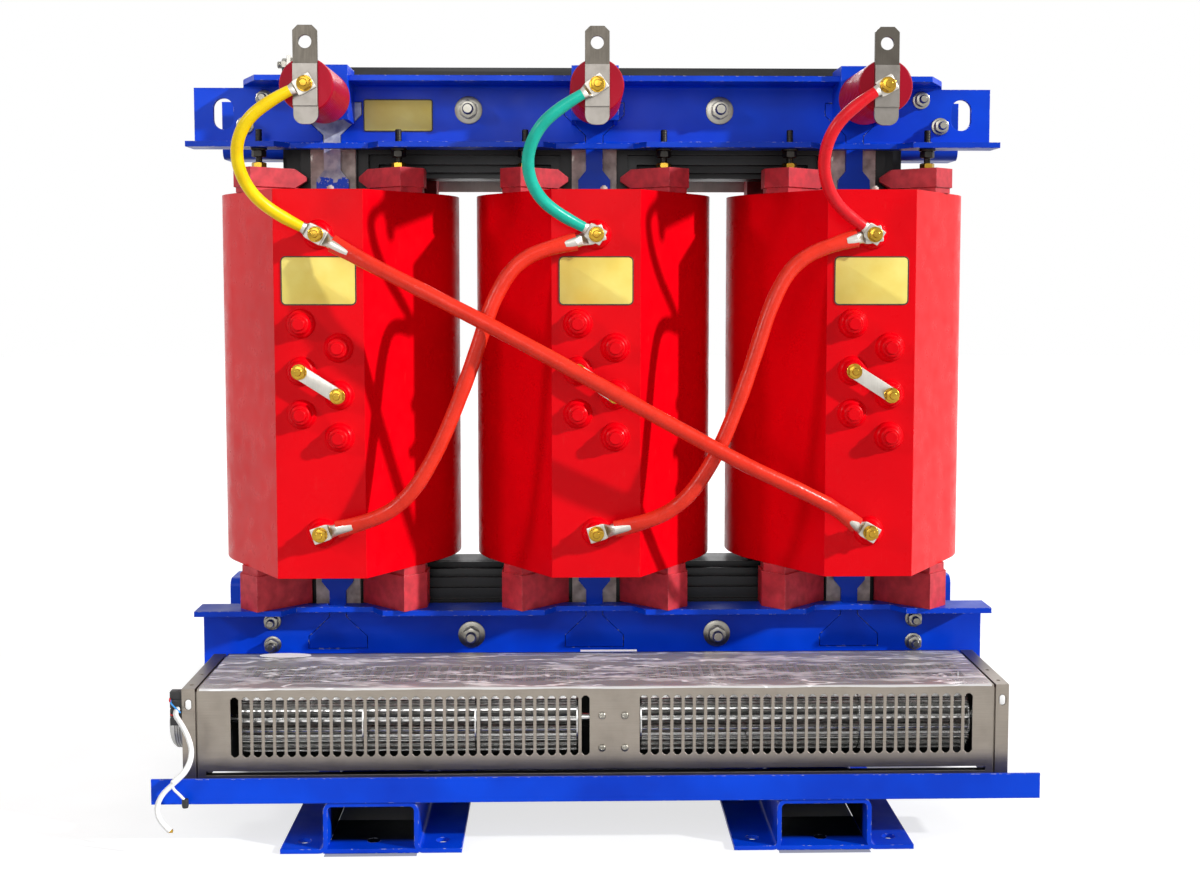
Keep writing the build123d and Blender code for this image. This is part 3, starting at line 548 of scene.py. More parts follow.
@dataclass(frozen=True)
class PaleFloor(Board):
    """The studio floor, lifted towards the white of the backdrop except in the skids' tunnels and under
    the body, where the lift is left out to paint shade.
    """

    lift: float = 0.72
    tunnel: Point = (0.306, 0.062, 0.392)
    body: tuple[float, float] = (0.56, 0.16)
    blur: float = 0.02

    def paint(self, graph: Graph) -> None:
        """Fill the node tree.

        Args:
            graph: The tree.
        """
        super().paint(graph)
        along, across = graph.distance("X"), graph.distance("Y")
        middle, half, length = self.tunnel
        beside = graph.math("ABSOLUTE", graph.math("SUBTRACT", along, middle))
        between, before = graph.math("LESS_THAN", beside, half), graph.math("LESS_THAN", across, length)
        tunnel = graph.all_of(between, before)
        ends, sides = self.body
        under = graph.all_of(
            graph.ramp(across, sides + self.blur, sides - self.blur),
            graph.ramp(along, ends + self.blur, ends - self.blur),
        )
        # Painted shade: no lift in the skids' tunnels and in a band under the body, so the floor shows
        # dark there.
        shown = graph.math("SUBTRACT", 1.0, graph.math("MAXIMUM", tunnel, under))
        lift = graph.all_of(graph.math("MULTIPLY", shown, self.lift), seen_straight(graph.tree))
        graph.set(Emission_Color=(1.0, 1.0, 1.0, 1.0), Emission_Strength=lift)


@dataclass(frozen=True)
class Sleeve(Finish):
    """Plastic insulation: smooth, slightly uneven, with faint lengthwise marks."""

    shade: str = "B01010"
    gloss: float = 0.28
    uneven: float = 0.2

    def paint(self, graph: Graph) -> None:
        """Fill the node tree.

        Args:
            graph: The tree.
        """
        mottle = graph.ramp(graph.noise(28.0, 4.0), 0.4, 0.75, 0.0, 0.55)
        graph.set(Base_Color=graph.mix(mottle, self.colour, self.shade))
        rough = graph.ramp(graph.noise(9.0, 3.0), 0.3, 0.7, self.gloss - 0.05, self.gloss + 0.12)
        graph.set(Roughness=rough, Specular_IOR_Level=0.22)
        graph.relief(graph.noise(8.0, 2.0), self.uneven)


@dataclass(frozen=True)
class ClearFilm(Finish):
    """Clear protective film: whitish along its folds, with painted highlights as thin white streaks and a
    band along the front edge; otherwise see-through.
    """

    def paint(self, graph: Graph) -> None:
        """Fill the node tree.

        Args:
            graph: The tree.
        """
        graph.set(Base_Color=linear(self.colour), Roughness=0.16)
        creases = graph.noise(16.0, 5.0, (4.0, 1.0, 1.0))
        folds = graph.ramp(creases, 0.5, 0.66, 0.24, 0.7)
        # Painted highlights: thin white streaks along the film.
        long = graph.noise(30.0, 3.0, (7.0, 1.0, 1.0))
        glint_line = graph.math("ABSOLUTE", graph.math("SUBTRACT", long, 0.5))
        glint_streaks = graph.ramp(glint_line, 0.02, 0.006, 0.0, 0.9)
        # Painted highlight: a white band along the film's front edge.
        front = graph.ramp(graph.coordinate("Y"), -0.339, -0.3445, 0.0, 0.6)
        shown = graph.math("MAXIMUM", graph.math("MAXIMUM", folds, glint_streaks), front)
        graph.set(Alpha=shown, Specular_IOR_Level=0.7)
        graph.relief(creases, 1.2)


RED = Resin("red_cast_resin", "E00010", "D0000E")
PAD = Board("moulded_pad_resin", "C42835", "A01C28", "D8646A")
WINDING = Resin("inner_winding_resin", "4A1812", "32100C", 0.5)
POST = Resin("post_insulator_resin", "B0142C", "960E22", 0.34, 0.05)
BLUE = Enamel("blue_enamel", "0044D6", "0034B8")
PEELED = PeeledEnamel("worn_blue_enamel", "0044D6", "0034B8")
SKID = SkidEnamel("skid_enamel", "0044D6", "0034B8")
CORE = Laminate("lacquered_core_steel", "08080A")
BOARD = Board("insulating_board", "C9C4BC", "8E8880")
STAINLESS = Metal("brushed_stainless", "968E84", "766F66")
HOUSING = HousingMetal("housing_stainless", "968E84", "766F66")
ALUMINIUM = Metal("rolled_aluminium", "D6D6D4", "A2A2A0", 0.24, (40.0, 1.0, 1.0), 0.15)
CAST = Metal("cast_aluminium", "B4B4B2", "84847F", 0.45, (1.0, 1.0, 1.0), 0.3)
ZINC = Metal("zinc_plated_steel", "9C9990", "5C574E", 0.3, (1.0, 1.0, 1.0), 0.5)
BRASS = Metal("bright_brass", "C29A38", "5E420E", 0.2, (1.0, 1.0, 1.0), 0.5)
TIN = Metal("dull_tinned_copper", "C4C0B8", "8A857C", 0.38, (1.0, 1.0, 30.0), 0.4)
STEEL = BarMetal("terminal_bar_metal", "5A554E", "35312C", 0.34, (1.0, 1.0, 30.0), 0.4)
BLACK_STEEL = Metal("blackened_steel", "3A3835", "1C1B1A", 0.4, (1.0, 1.0, 1.0), 0.5)
YELLOW = Sleeve("yellow_sleeve", "F4D20A", "DCAE00")
GREEN = Sleeve("green_sleeve", "1CBAA2", "149A84")
LEAD_RED = Sleeve("red_sleeve", "E81824", "C0101A")
SHRINK = Sleeve("shrink_tube", "E0301C", "C42614", 0.26, 0.5)
WHITE = Sleeve("white_sheath", "F4F4F2", "DCDCD8", 0.35, 0.1)
BLUE_WIRE = Sleeve("blue_wire", "3F9BE8", "2878C0")
RED_WIRE = Sleeve("red_wire", "D8141C", "A80C14")
BLACK = Board("black_moulding", "121212", "1E1E1E", "3A3A3A", 2.0)
PLATE = Board("gold_plate", "E8D670", "E0C655", "F4E890", 14.0)
BORDER = Board("plate_border", "14120E", "0C0A08", "403828", 2.0)
STICKER = Board("white_label", "F6F6F4", "E8E8E6", "FFFFFF", 3.0)
FILM = ClearFilm("clear_film", "FFFFFF")
FLOOR = PaleFloor("pale_floor", "A6A6A5", "A0A09F", "A6A6A5", 60.0)

DRESSED_NODES: tuple[tuple[Finish, str], ...] = (
    (CORE, "core"),
    (BLUE, "top_clamp_front top_clamp_rear bottom_clamp_front bottom_clamp_rear"),
    (BLUE, "insulator_brackets support_legs front_rails rear_rails"),
    (PEELED, "tie_plates"),
    (BOARD, "tie_plate_boards"),
    (RED, "hv_coil_left hv_coil_centre hv_coil_right"),
    (WINDING, "lv_coil_left lv_coil_centre lv_coil_right"),
    (PAD, "coil_pads lv_supports"),
    (SKID, "foot_left foot_right"),
    (HOUSING, "fan_front_housing fan_rear_housing"),
    (STAINLESS, "fan_end_boxes"),
    (ALUMINIUM, "fan_front_rotor fan_rear_rotor"),
    (STEEL, "hv_terminal_left hv_terminal_centre hv_terminal_right"),
    (TIN, "lv_line_bars lv_star_bar"),
)


# Meshes


class Form:
    """A mesh in the making, in millimetres."""

    def __init__(self, name: str, finish: Finish) -> None:
        """Start an empty mesh.

        Args:
            name: Name of the piece.
            finish: Its finish.
        """
        self.name = name
        self.finish = finish
        self.bm = bmesh.new()

    def skin(self, rings: Sequence[Ring], capped: bool = True) -> None:
        """Join rings of points, each with as many points as the next, to a closed skin.

        Args:
            rings: The rings, in order.
            capped: Whether the first and last ring are filled.
        """
        rows = [[self.bm.verts.new(p) for p in ring] for ring in rings]
        count = len(rows[0])
        for low, high in zip(rows, rows[1:]):
            for i in range(count):
                j = (i + 1) % count
                self.bm.faces.new((low[i], low[j], high[j], high[i]))
        if capped:
            self.bm.faces.new(list(reversed(rows[0])))
            self.bm.faces.new(rows[-1])

    def turned(self, base: Point, axis: Axis, profile: Profile, steps: int = 40) -> None:
        """A body of revolution.

        Args:
            base: Point from which heights count.
            axis: Direction of the heights.
            profile: Radius and height of each ring.
            steps: Points round a ring.
        """
        frame_of = frame_along(Vector(axis.value))
        rings = []
        for radius, height in profile:
            centre = Vector(base) + Vector(axis.value) * height
            rings.append(circle(centre, frame_of, radius, steps))
        self.skin(rings)

    def hexagon(self, base: Point, axis: Axis, flats: float, height: float) -> None:
        """A hexagon nut or head, its corners turned off at the end.

        Args:
            base: Centre of its seat.
            axis: Direction of its height.
            flats: Distance across flats.
            height: Height.
        """
        frame_of = frame_along(Vector(axis.value))
        steps, sixth = 48, math.pi / 3
        inner, lift, slope = flats / 2 * 0.94, 0.2, 0.6
        rings = []
        levels = ((0.0, 1, True), (0.0, 1, False), (height, -1, False), (height, -1, True))
        for level, way, is_inner in levels:
            ring = []
            for i in range(steps):
                angle = 2 * math.pi * i / steps
                folded = (angle + sixth / 2) % sixth - sixth / 2
                radius = flats / 2 / math.cos(folded)
                turned_off = (radius - flats / 2) * slope + lift
                place = (inner, level) if is_inner else (radius, level + way * turned_off)
                ring.append(on_frame(Vector(base), frame_of, place[0], angle, place[1]))
            rings.append(ring)
        self.skin(rings)

    def plate(self, outline: Profile, plane: Plane, thick: float, bevel: float = 0.4) -> None:
        """A flat plate with softened edges.

        Args:
            outline: Corners in the plane.
            plane: Function from two coordinates and a height to a point.
            thick: Thickness.
            bevel: Width of the softened edges.
        """
        low = [self.bm.verts.new(plane(a, b, 0.0)) for a, b in outline]
        high = [self.bm.verts.new(plane(a, b, thick)) for a, b in outline]
        faces = [self.bm.faces.new(list(reversed(low))), self.bm.faces.new(high)]
        for i in range(len(low)):
            j = (i + 1) % len(low)
            faces.append(self.bm.faces.new((low[i], low[j], high[j], high[i])))
        if bevel:
            edges = {edge for face in faces for edge in face.edges}
            bmesh.ops.bevel(
                self.bm, geom=list(edges), offset=bevel, offset_type="OFFSET", segments=2,
                profile=0.5, affect="EDGES", material=-1, clamp_overlap=True,
            )

    def tube(
        self, centres: Sequence[Vector], radius: Callable[[float], float], steps: int = 20,
        flat: Callable[[float], float] = lambda _: 1.0,
    ) -> None:
        """A round tube along points.

        Args:
            centres: Points of the middle line.
            radius: Radius from 0 at the start to 1 at the end.
            steps: Points round a ring.
            flat: How far the tube is pressed flat at a place, 1 where it is round.
        """
        frames = carried_frames(centres)
        last = len(centres) - 1
        rings = []
        for i, (centre, (thin, wide, along)) in enumerate(zip(centres, frames)):
            squash = flat(i / last)
            rings.append(circle(centre, (thin * squash, wide / squash, along), radius(i / last), steps))
        self.skin(rings)

    def finish_up(self, body: str = BODY, angle: float = 32.0) -> bpy.types.Object:
        """Turn the mesh into an object that rides on a body.

        Args:
            body: Name of the body.
            angle: Edges sharper than this, in degrees, stay sharp.

        Returns:
            The object.
        """
        bmesh.ops.recalc_face_normals(self.bm, faces=self.bm.faces)
        bmesh.ops.scale(self.bm, vec=(MM, MM, MM), verts=self.bm.verts)
        mesh = bpy.data.meshes.new(self.name)
        self.bm.to_mesh(mesh)
        self.bm.free()
        mesh.shade_smooth()
        mesh.set_sharp_from_angle(angle=math.radians(angle))
        mesh.materials.append(self.finish.material())
        piece = bpy.data.objects.new(self.name, mesh)
        bpy.context.scene.collection.objects.link(piece)
        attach(piece, body)
        LOG.info("piece %s: %d faces", self.name, len(mesh.polygons))
        return piece


def frame_along(direction: Vector) -> tuple[Vector, Vector, Vector]:
    """Three perpendicular directions, the last along a given one.

    Args:
        direction: The given direction.

    Returns:
        Two cross directions and the direction itself.
    """
    along = direction.normalized()
    side = Vector((0, 0, 1)) if abs(along.z) < 0.9 else Vector((1, 0, 0))
    first = side.cross(along).normalized()
    return first, along.cross(first), along


def on_frame(base: Vector, axes: Sequence[Vector], radius: float, angle: float, height: float) -> Vector:
    """A point at a radius, an angle and a height over a base.

    Args:
        base: The base.
        axes: Two cross directions and the height's direction.
        radius: Distance from the axis.
        angle: Angle in radians.
        height: Height along the axis.

    Returns:
        The point.
    """
    across = axes[0] * math.cos(angle) + axes[1] * math.sin(angle)
    return base + across * radius + axes[2] * height


def circle(centre: Vector, axes: Sequence[Vector], radius: float, steps: int) -> Ring:
    """A ring of points.

    Args:
        centre: Its centre.
        axes: Two cross directions and the axis.
        radius: Its radius.
        steps: Number of points.

    Returns:
        The points.
    """
    return [on_frame(centre, axes, radius, 2 * math.pi * i / steps, 0.0) for i in range(steps)]


def carried_frames(points: Sequence[Vector]) -> list[tuple[Vector, Vector, Vector]]:
    """Cross directions along a line, carried on without twist.

    Args:
        points: Points of the line.

    Returns:
        Directions at each point.
    """
    frames = []
    first = None
    for i, point in enumerate(points):
        ahead = points[min(i + 1, len(points) - 1)] - points[max(i - 1, 0)]
        along = ahead.normalized()
        if first is None:
            first = frame_along(along)[0]
        first = (first - along * first.dot(along)).normalized()
        frames.append((first, along.cross(first), along))
    return frames


def smooth_line(name: str, points: Sequence[Point]) -> tuple[bpy.types.Curve, list[Vector]]:
    """A smooth spline with a route's points as control points.

    Args:
        name: Name of the curve.
        points: The route in metres.

    Returns:
        The curve, and points on it in millimetres.
    """
    curve = bpy.data.curves.new(name, "CURVE")
    curve.dimensions = "3D"
    spline = curve.splines.new("NURBS")
    spline.points.add(len(points) - 1)
    for target, point in zip(spline.points, points):
        target.co = (*point, 1.0)
    spline.order_u = 3
    spline.use_endpoint_u = True
    curve.resolution_u = SPLINE_STEPS
    carrier = bpy.data.objects.new(name + "_line", curve)
    bpy.context.scene.collection.objects.link(carrier)
    mesh = bpy.data.meshes.new_from_object(carrier)
    samples = [vertex.co / MM for vertex in mesh.vertices]
    bpy.data.meshes.remove(mesh)
    bpy.data.objects.remove(carrier)
    return curve, samples


def facing(y: float, way: int = -1) -> Plane:
    """A plane that looks to the front or to the rear.

    Args:
        y: Its place in millimetres.
        way: -1 for the front and 1 for the rear.

    Returns:
        Function from X, Z and height to a point.
    """
    return lambda a, b, height: (a, y + way * height, b)


def rounded(x0: float, x1: float, z0: float, z1: float, radius: float, steps: int = 5) -> Profile:
    """A rectangle with rounded corners.

    Args:
        x0: Left side.
        x1: Right side.
        z0: Lower side.
        z1: Upper side.
        radius: Radius of the corners.
        steps: Points at a corner.

    Returns:
        The corners in order.
    """
    points = []
    for cx, cz, start in ((x1 - radius, z1 - radius, 0), (x0 + radius, z1 - radius, 90),
                          (x0 + radius, z0 + radius, 180), (x1 - radius, z0 + radius, 270)):
        for i in range(steps):
            angle = math.radians(start + 90 * i / (steps - 1))
            points.append((cx + radius * math.cos(angle), cz + radius * math.sin(angle)))
    return points


def thread(radius: float, length: float, pitch: float = 1.8) -> Profile:
    """Profile of a threaded end.

    Args:
        radius: Outer radius.
        length: Length.
        pitch: Distance between ridges.

    Returns:
        Radius and height of each ring.
    """
    profile = [(radius * 0.5, 0.0)]
    height = 0.0
    while height < length - pitch:
        for share, reach in ((1.0, 0.3), (1.0, 0.5), (0.9, 1.0)):
            profile.append((radius * share, height + pitch * reach))
        height += pitch
    profile += [(radius * 0.8, length), (radius * 0.01, length)]
    return profile


# Sub-assemblies


@dataclass(frozen=True)
class BoltSize:
    """Radius of a stud and of its washer, and width across the nut's flats."""

    stud: float
    washer: float
    flats: float


SMALL = BoltSize(6.0, 13.0, 19.0)
LARGE = BoltSize(8.0, 20.5, 24.0)
CLAMP_BOLTS = (
    (489, 1037, SMALL), (518, 998, SMALL), (187, 1021, LARGE),
    (489, 252, SMALL), (489, 216, SMALL), (187, 230, LARGE),
)


@dataclass
class Fasteners:
    """Clamp bolts, press screws and the brass bolts of the terminals."""

    clamp_face: float = 96.0
    lug: float = 3.0
    screw: Point = (102.0, 128.0, 933.5)
    screw_length: float = 56.0
    ear: Point = (-500.0, 165.0, 1122.0)
    ear_plate: float = 6.0
    plug: Point = (12.0, -195.0, 896.5)

    def build(self) -> None:
        """Build every fastener in place of its plain solid."""
        self.clamp_bolts()
        self.press_screws()
        self.brass_bolts()
        self.coil_plugs()
        self.neutral_bolt()

    def coil_plugs(self) -> None:
        """Small pale plugs that close the casting holes on top of the coils."""
        form = Form("coil_plugs", BOARD)
        dx, y, z = self.plug
        for x in PHASES.values():
            form.turned((x + dx, y, z), Axis.UP, [(5.0, 0), (5.0, 5.2), (4.2, 6.2), (0.1, 6.2)], 20)
            form.turned((x + dx, y, z + 6.1), Axis.UP, [(2.6, 0), (2.6, 1.8), (0.1, 1.8)], 16)
        form.finish_up()

    def neutral_bolt(self) -> None:
        """The bolt on the ear of the neutral upright, head to the left."""
        form = Form("neutral_bolt", ZINC)
        x, y, z = self.ear
        washer, size = 2.4, SMALL
        flat = [(11.5, 0), (12, 0.4), (12, 2.0), (11.5, washer), (size.stud, washer)]
        head = [(12, 0), (12, 2.2), (size.stud, 2.2), (size.stud, 6.0), (0.1, 6.0)]
        form.turned(self.ear, Axis.LEFT, flat)
        form.hexagon((x - washer, y, z), Axis.LEFT, size.flats, 7.5)
        form.turned((x - 9.5, y, z), Axis.LEFT, thread(size.stud, 8.0))
        form.turned((x + self.ear_plate, y, z), Axis.RIGHT, head)
        form.finish_up()

    def clamp_bolts(self) -> None:
        """Through bolts with washer, spring washer, nut and threaded end on both faces."""
        form = Form("clamp_bolt_sets", ZINC)
        for x, z, size in CLAMP_BOLTS:
            for side in (-1, 1):
                for axis, y in ((Axis.FRONT, -self.clamp_face), (Axis.REAR, self.clamp_face)):
                    self.bolt_set(form, Vector((side * x, y, z)), axis, size)
        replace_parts(form.finish_up(), "clamp_bolts")

    def bolt_set(self, form: Form, seat: Vector, axis: Axis, size: BoltSize) -> None:
        """One nut with its washers.

        Args:
            form: Mesh that takes it.
            seat: Centre of the seat.
            axis: Direction outwards.
            size: Size of the bolt.
        """
        out = Vector(axis.value)
        stud, wide, spring, thick = size.stud, size.washer, size.stud * 1.65, 2.6
        height = stud * 1.6
        flat = [(wide - 0.5, 0), (wide, 0.4), (wide, 2.2), (wide - 0.7, thick), (stud, thick)]
        split = [(spring - 0.3, 0.1), (spring, 0.5), (spring, 2.2), (spring - 0.4, thick), (stud, thick)]
        form.turned(seat, axis, flat)
        form.turned(seat + out * thick, axis, split)
        nut = seat + out * 2 * thick
        form.hexagon(nut, axis, size.flats, height)
        form.turned(nut + out * (height - 0.5), axis, thread(stud, 9.0))

    def press_screws(self) -> None:
        """Screws between the clamps' flanges and the pads."""
        screws = Form("press_screw_sets", BLACK_STEEL)
        nuts = Form("press_screw_nuts", BRASS)
        across, deep, foot = self.screw
        washer = [(11.5, 0), (12, 0.4), (12, 2.6), (11.5, 3.1)]
        for x in PHASES.values():
            for dx in (-across, across):
                for y in (-deep, deep):
                    place = (x + dx, y)
                    screws.turned((*place, foot), Axis.UP, thread(5.0, self.screw_length, 2.4), 20)
                    screws.turned((*place, foot + 25.3), Axis.UP, washer)
                    screws.hexagon((*place, foot + 15.5), Axis.UP, SMALL.flats, 9.6)
                    nuts.hexagon((*place, foot - 0.3), Axis.UP, SMALL.flats, 7.8)
        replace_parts(screws.finish_up(), "press_screws")
        nuts.finish_up()

    def brass_bolts(self) -> None:
        """Brass nuts on the insulators, the coil terminals and the tap links."""
        form = Form("brass_bolt_sets", BRASS)
        on_coil = TAP_SEAT - self.lug
        for x in PHASES.values():
            self.brass_nut(form, (x, POST_SEAT - self.lug, POST_Z))
            self.brass_nut(form, (x, on_coil - self.lug, COIL_TOP_Z))
            self.brass_nut(form, (x, on_coil, COIL_FOOT_Z))
            for dx, z in TAPS:
                self.brass_nut(form, (x + dx, on_coil, z))
        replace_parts(form.finish_up(), "brass_bolts")

    def brass_nut(self, form: Form, seat: Point) -> None:
        """One brass nut with washers and bolt end.

        Args:
            form: Mesh that takes it.
            seat: Centre of the seat.
        """
        x, y, z = seat
        flat = [(10.6, 0), (11, 0.3), (11, 1.4), (10.5, 1.8), (5, 1.8)]
        split = [(8.4, 0.1), (8.8, 0.4), (8.8, 1.6), (8.4, 1.9), (5, 1.9)]
        end = [(5, 0), (5, 1.6), (4.3, 2.4), (0.1, 2.6)]
        form.turned(seat, Axis.FRONT, flat)
        form.turned((x, y - 1.8, z), Axis.FRONT, split)
        form.hexagon((x, y - 3.7, z), Axis.FRONT, 17, 7.0)
        form.turned((x, y - 10.4, z), Axis.FRONT, end)


@dataclass
class Terminals:
    """Post insulators and the links between taps."""

    front: float = -318.0
    back: float = -167.0
    rings: int = 15
    radius: float = 37.3
    taper: float = 1.0
    groove: float = 1.3
    link_end: float = 10.5
    link_plate: float = 3.0

    def build(self) -> None:
        """Build the ribbed posts and the tap links."""
        for side, x in PHASES.items():
            form = Form(f"post_{side}", POST)
            form.turned((x, self.back, POST_Z), Axis.FRONT, self.post_profile(), 64)
            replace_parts(form.finish_up(angle=50), f"insulator_{side}")
        links = Form("tap_link_bars", TIN)
        for x in PHASES.values():
            self.link(links, x)
        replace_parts(links.finish_up(), "tap_links")

    def post_profile(self) -> Profile:
        """Profile of a post with shallow rings.

        Returns:
            Radius and height of each ring.
        """
        length = self.back - self.front
        profile = [(30.0, 0.0), (36.6, 0.0), (37.2, 0.8)]
        for i in range(self.rings):
            at = 6 + (length - 14) * i / (self.rings - 1)
            radius = self.radius - self.taper * at / length
            for depth, ahead in ((0, -2.6), (self.groove, -1.6), (self.groove, 0.2), (0, 1.2)):
                profile.append((radius - depth, at + ahead))
        return profile + [(36.3, length - 1.6), (35.0, length), (12.0, length)]

    def link(self, form: Form, x: float) -> None:
        """A bare bar with facetted ends between two taps.

        Args:
            form: Mesh that takes it.
            x: Middle of the coil.
        """
        start, end = (Vector((x + dx, z)) for dx, z in TAPS)
        along = (end - start).normalized()
        across = Vector((-along.y, along.x))
        outline = []
        for centre, way in ((end, 1), (start, -1)):
            for angle in (-80, -48, -16, 16, 48, 80):
                turn = math.radians(angle)
                offset = along * way * math.cos(turn) + across * way * math.sin(turn)
                point = centre + offset * self.link_end
                outline.append((point.x, point.y))
        form.plate(outline, facing(TAP_SEAT), self.link_plate)


@dataclass
class Lead:
    """One insulated link: a smooth sleeve with a pressed lug at each end."""

    name: str
    finish: Finish
    radius: float
    route: Sequence[Point]
    start: Point
    end: Point
    wrinkles: float = 0.0
    pressed: float = 1.0
    steps: int = 24
    swells: int = 30

    def build(self) -> list[bpy.types.Object]:
        """Build sleeve and lugs.

        Returns:
            The sleeve and the lugs.
        """
        _, centres = smooth_line(self.name, self.route)
        sleeve = Form(self.name, self.finish)
        noise = random.Random(self.name)
        swell = [noise.uniform(-1, 1) * self.wrinkles for _ in range(self.swells)]
        last = self.swells - 1

        def radius(t: float) -> float:
            """Radius along the sleeve, drawn in at both ends."""
            ends = min(t, 1 - t) * 12
            place = t * last
            low = int(place)
            wave = swell[low] + (swell[min(low + 1, last)] - swell[low]) * (place - low)
            return self.radius * (0.86 + 0.14 * min(ends, 1.0)) + wave

        def flat(t: float) -> float:
            """Share of the thickness that is left where the sleeve is pressed over a lug."""
            return self.pressed + (1 - self.pressed) * min(min(t, 1 - t) * 14, 1.0)

        sleeve.tube(centres, radius, self.steps, flat)
        lugs = Form(self.name + "_lugs", TIN)
        self.lug(lugs, Vector(self.start), centres[0], centres[3])
        self.lug(lugs, Vector(self.end), centres[-1], centres[-4])
        return [sleeve.finish_up(), lugs.finish_up()]

    def lug(self, form: Form, bolt: Vector, mouth: Vector, beyond: Vector) -> None:
        """A pressed lug: flat palm under the bolt, round barrel in the sleeve.

        Args:
            form: Mesh that takes it.
            bolt: Middle of the palm's seat.
            mouth: End of the sleeve.
            beyond: A point inside the sleeve.
        """
        out = Vector((0, -1, 0))
        flat = Vector((mouth.x - bolt.x, 0, mouth.z - bolt.z)).normalized()
        across = out.cross(flat).normalized()
        palm = bolt + out * 1.5
        barrel, inner = self.radius * 0.82, self.radius * 0.8
        stations = [
            (palm - flat * 11.5, 10.0, 1.2), (palm - flat * 11, 11.5, 1.5), (palm + flat * 10, 11.5, 1.5),
            (palm + flat * 14, 10.5, 2.0), (mouth - flat * 6 + out * -1, 8.5, 4.5),
            (mouth, barrel, barrel), (mouth.lerp(beyond, 0.8), inner, inner),
        ]
        rings = []
        for centre, wide, high in stations:
            power = 0.35 if high < 4 else 1.0
            ring = []
            for i in range(self.steps):
                angle = 2 * math.pi * i / self.steps
                a, b = (math.copysign(abs(v) ** power, v) for v in (math.cos(angle), math.sin(angle)))
                ring.append(centre + across * (a * wide) + out * (b * high))
            rings.append(ring)
        form.skin(rings)


# Routes of the phase leads from their coil's middle, and of the delta links, in millimetres
LEAD_OFFSETS = {
    "left": (
        (-18, -337, 1021), (-60, -337, 1000), (-90, -327, 965),
        (-96, -312, 925), (-80, -292, 885), (-46, -272, 857), (-18, -264, 843),
    ),
    "centre": (
        (-20, -337, 1017), (-60, -337, 994), (-88, -327, 960),
        (-96, -312, 922), (-82, -292, 884), (-48, -272, 857), (-18, -264, 843),
    ),
    "right": (
        (-18, -337, 1021), (-54, -337, 997), (-78, -327, 964),
        (-84, -312, 924), (-70, -292, 886), (-42, -272, 859), (-18, -264, 845),
    ),
}
DELTA_ROUTES = (
    ("left", "right", (
        (-366, -262, 820), (-310, -282, 790), (-232, -302, 752), (-110, -310, 689), (4, -312, 626),
        (110, -310, 567), (206, -304, 514), (290, -290, 474), (340, -276, 447), (368, -262, 424),
    )),
    ("centre", "left", (
        (-28, -262, 823), (-66, -266, 815), (-112, -274, 794), (-144, -278, 742), (-166, -280, 672),
        (-192, -280, 600), (-224, -280, 526), (-262, -276, 466), (-310, -268, 433), (-364, -262, 420),
    )),
    ("right", "centre", (
        (364, -262, 828), (326, -266, 819), (274, -274, 794), (244, -278, 742), (222, -280, 672),
        (198, -280, 600), (168, -280, 526), (128, -276, 464), (80, -268, 431), (26, -262, 419),
    )),
)


@dataclass
class Leads:
    """The three phase leads and the three links of the delta."""

    lug: float = 3.0
    lead_radius: float = 8.5
    link_radius: float = 10.5

    def build(self) -> None:
        """Build every lead in place of its plain tube."""
        finishes = {"left": YELLOW, "centre": GREEN, "right": LEAD_RED}
        for side, x in PHASES.items():
            route = [((x + dx) * MM, y * MM, z * MM) for dx, y, z in LEAD_OFFSETS[side]]
            ends = ((x, POST_SEAT, POST_Z), (x, TAP_SEAT - self.lug, COIL_TOP_Z))
            lead = Lead(f"lead_{side}", finishes[side], self.lead_radius, route, *ends)
            for piece in lead.build():
                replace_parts(piece, f"phase_lead_{side}")
        for start, end, points in DELTA_ROUTES:
            route = [(x * MM, y * MM, z * MM) for x, y, z in points]
            ends = ((PHASES[start], TAP_SEAT, COIL_TOP_Z), (PHASES[end], TAP_SEAT, COIL_FOOT_Z))
            name = f"delta_{start}_to_{end}"
            lead = Lead(name, SHRINK, self.link_radius, route, *ends, wrinkles=0.35, pressed=0.72)
            for piece in lead.build():
                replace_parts(piece, "delta_tubes")


@dataclass
class Plates:
    """Bare metal plates on the coils and on the top clamp."""

    coil_face: float = -236.0
    clamp_face: float = -96.0
    sheet: float = 0.8
    border: float = 1.7

    def build(self) -> None:
        """Build each plate with its printed border, left blank."""
        for side, x in PHASES.items():
            self.plate(f"coil_plate_{side}", (x - 53, x + 53, 734, 803), self.coil_face, 7.0)
        self.plate("clamp_plate", (-343, -240, 989, 1037), self.clamp_face, 4.0)

    def plate(self, name: str, box: Sequence[float], y: float, radius: float) -> None:
        """One plate.

        Args:
            name: Name of the piece.
            box: Left, right, lower and upper side.
            y: Place of the surface that carries it.
            radius: Radius of its corners.
        """
        x0, x1, z0, z1 = box
        in_by = self.border
        outer = rounded(x0, x1, z0, z1, radius)
        inner = rounded(x0 + in_by, x1 - in_by, z0 + in_by, z1 - in_by, radius - in_by)
        sheet = Form(name, PLATE)
        sheet.plate(outer, facing(y), self.sheet, 0.2)
        sheet.finish_up()
        border = Form(name + "_border", BORDER)
        rings = []
        for ring, height in ((outer, 0.3), (outer, 0.98), (inner, 0.98), (inner, 0.7)):
            rings.append([Vector((a, y - height, b)) for a, b in ring])
        border.skin(rings + rings[:1], capped=False)
        border.finish_up()


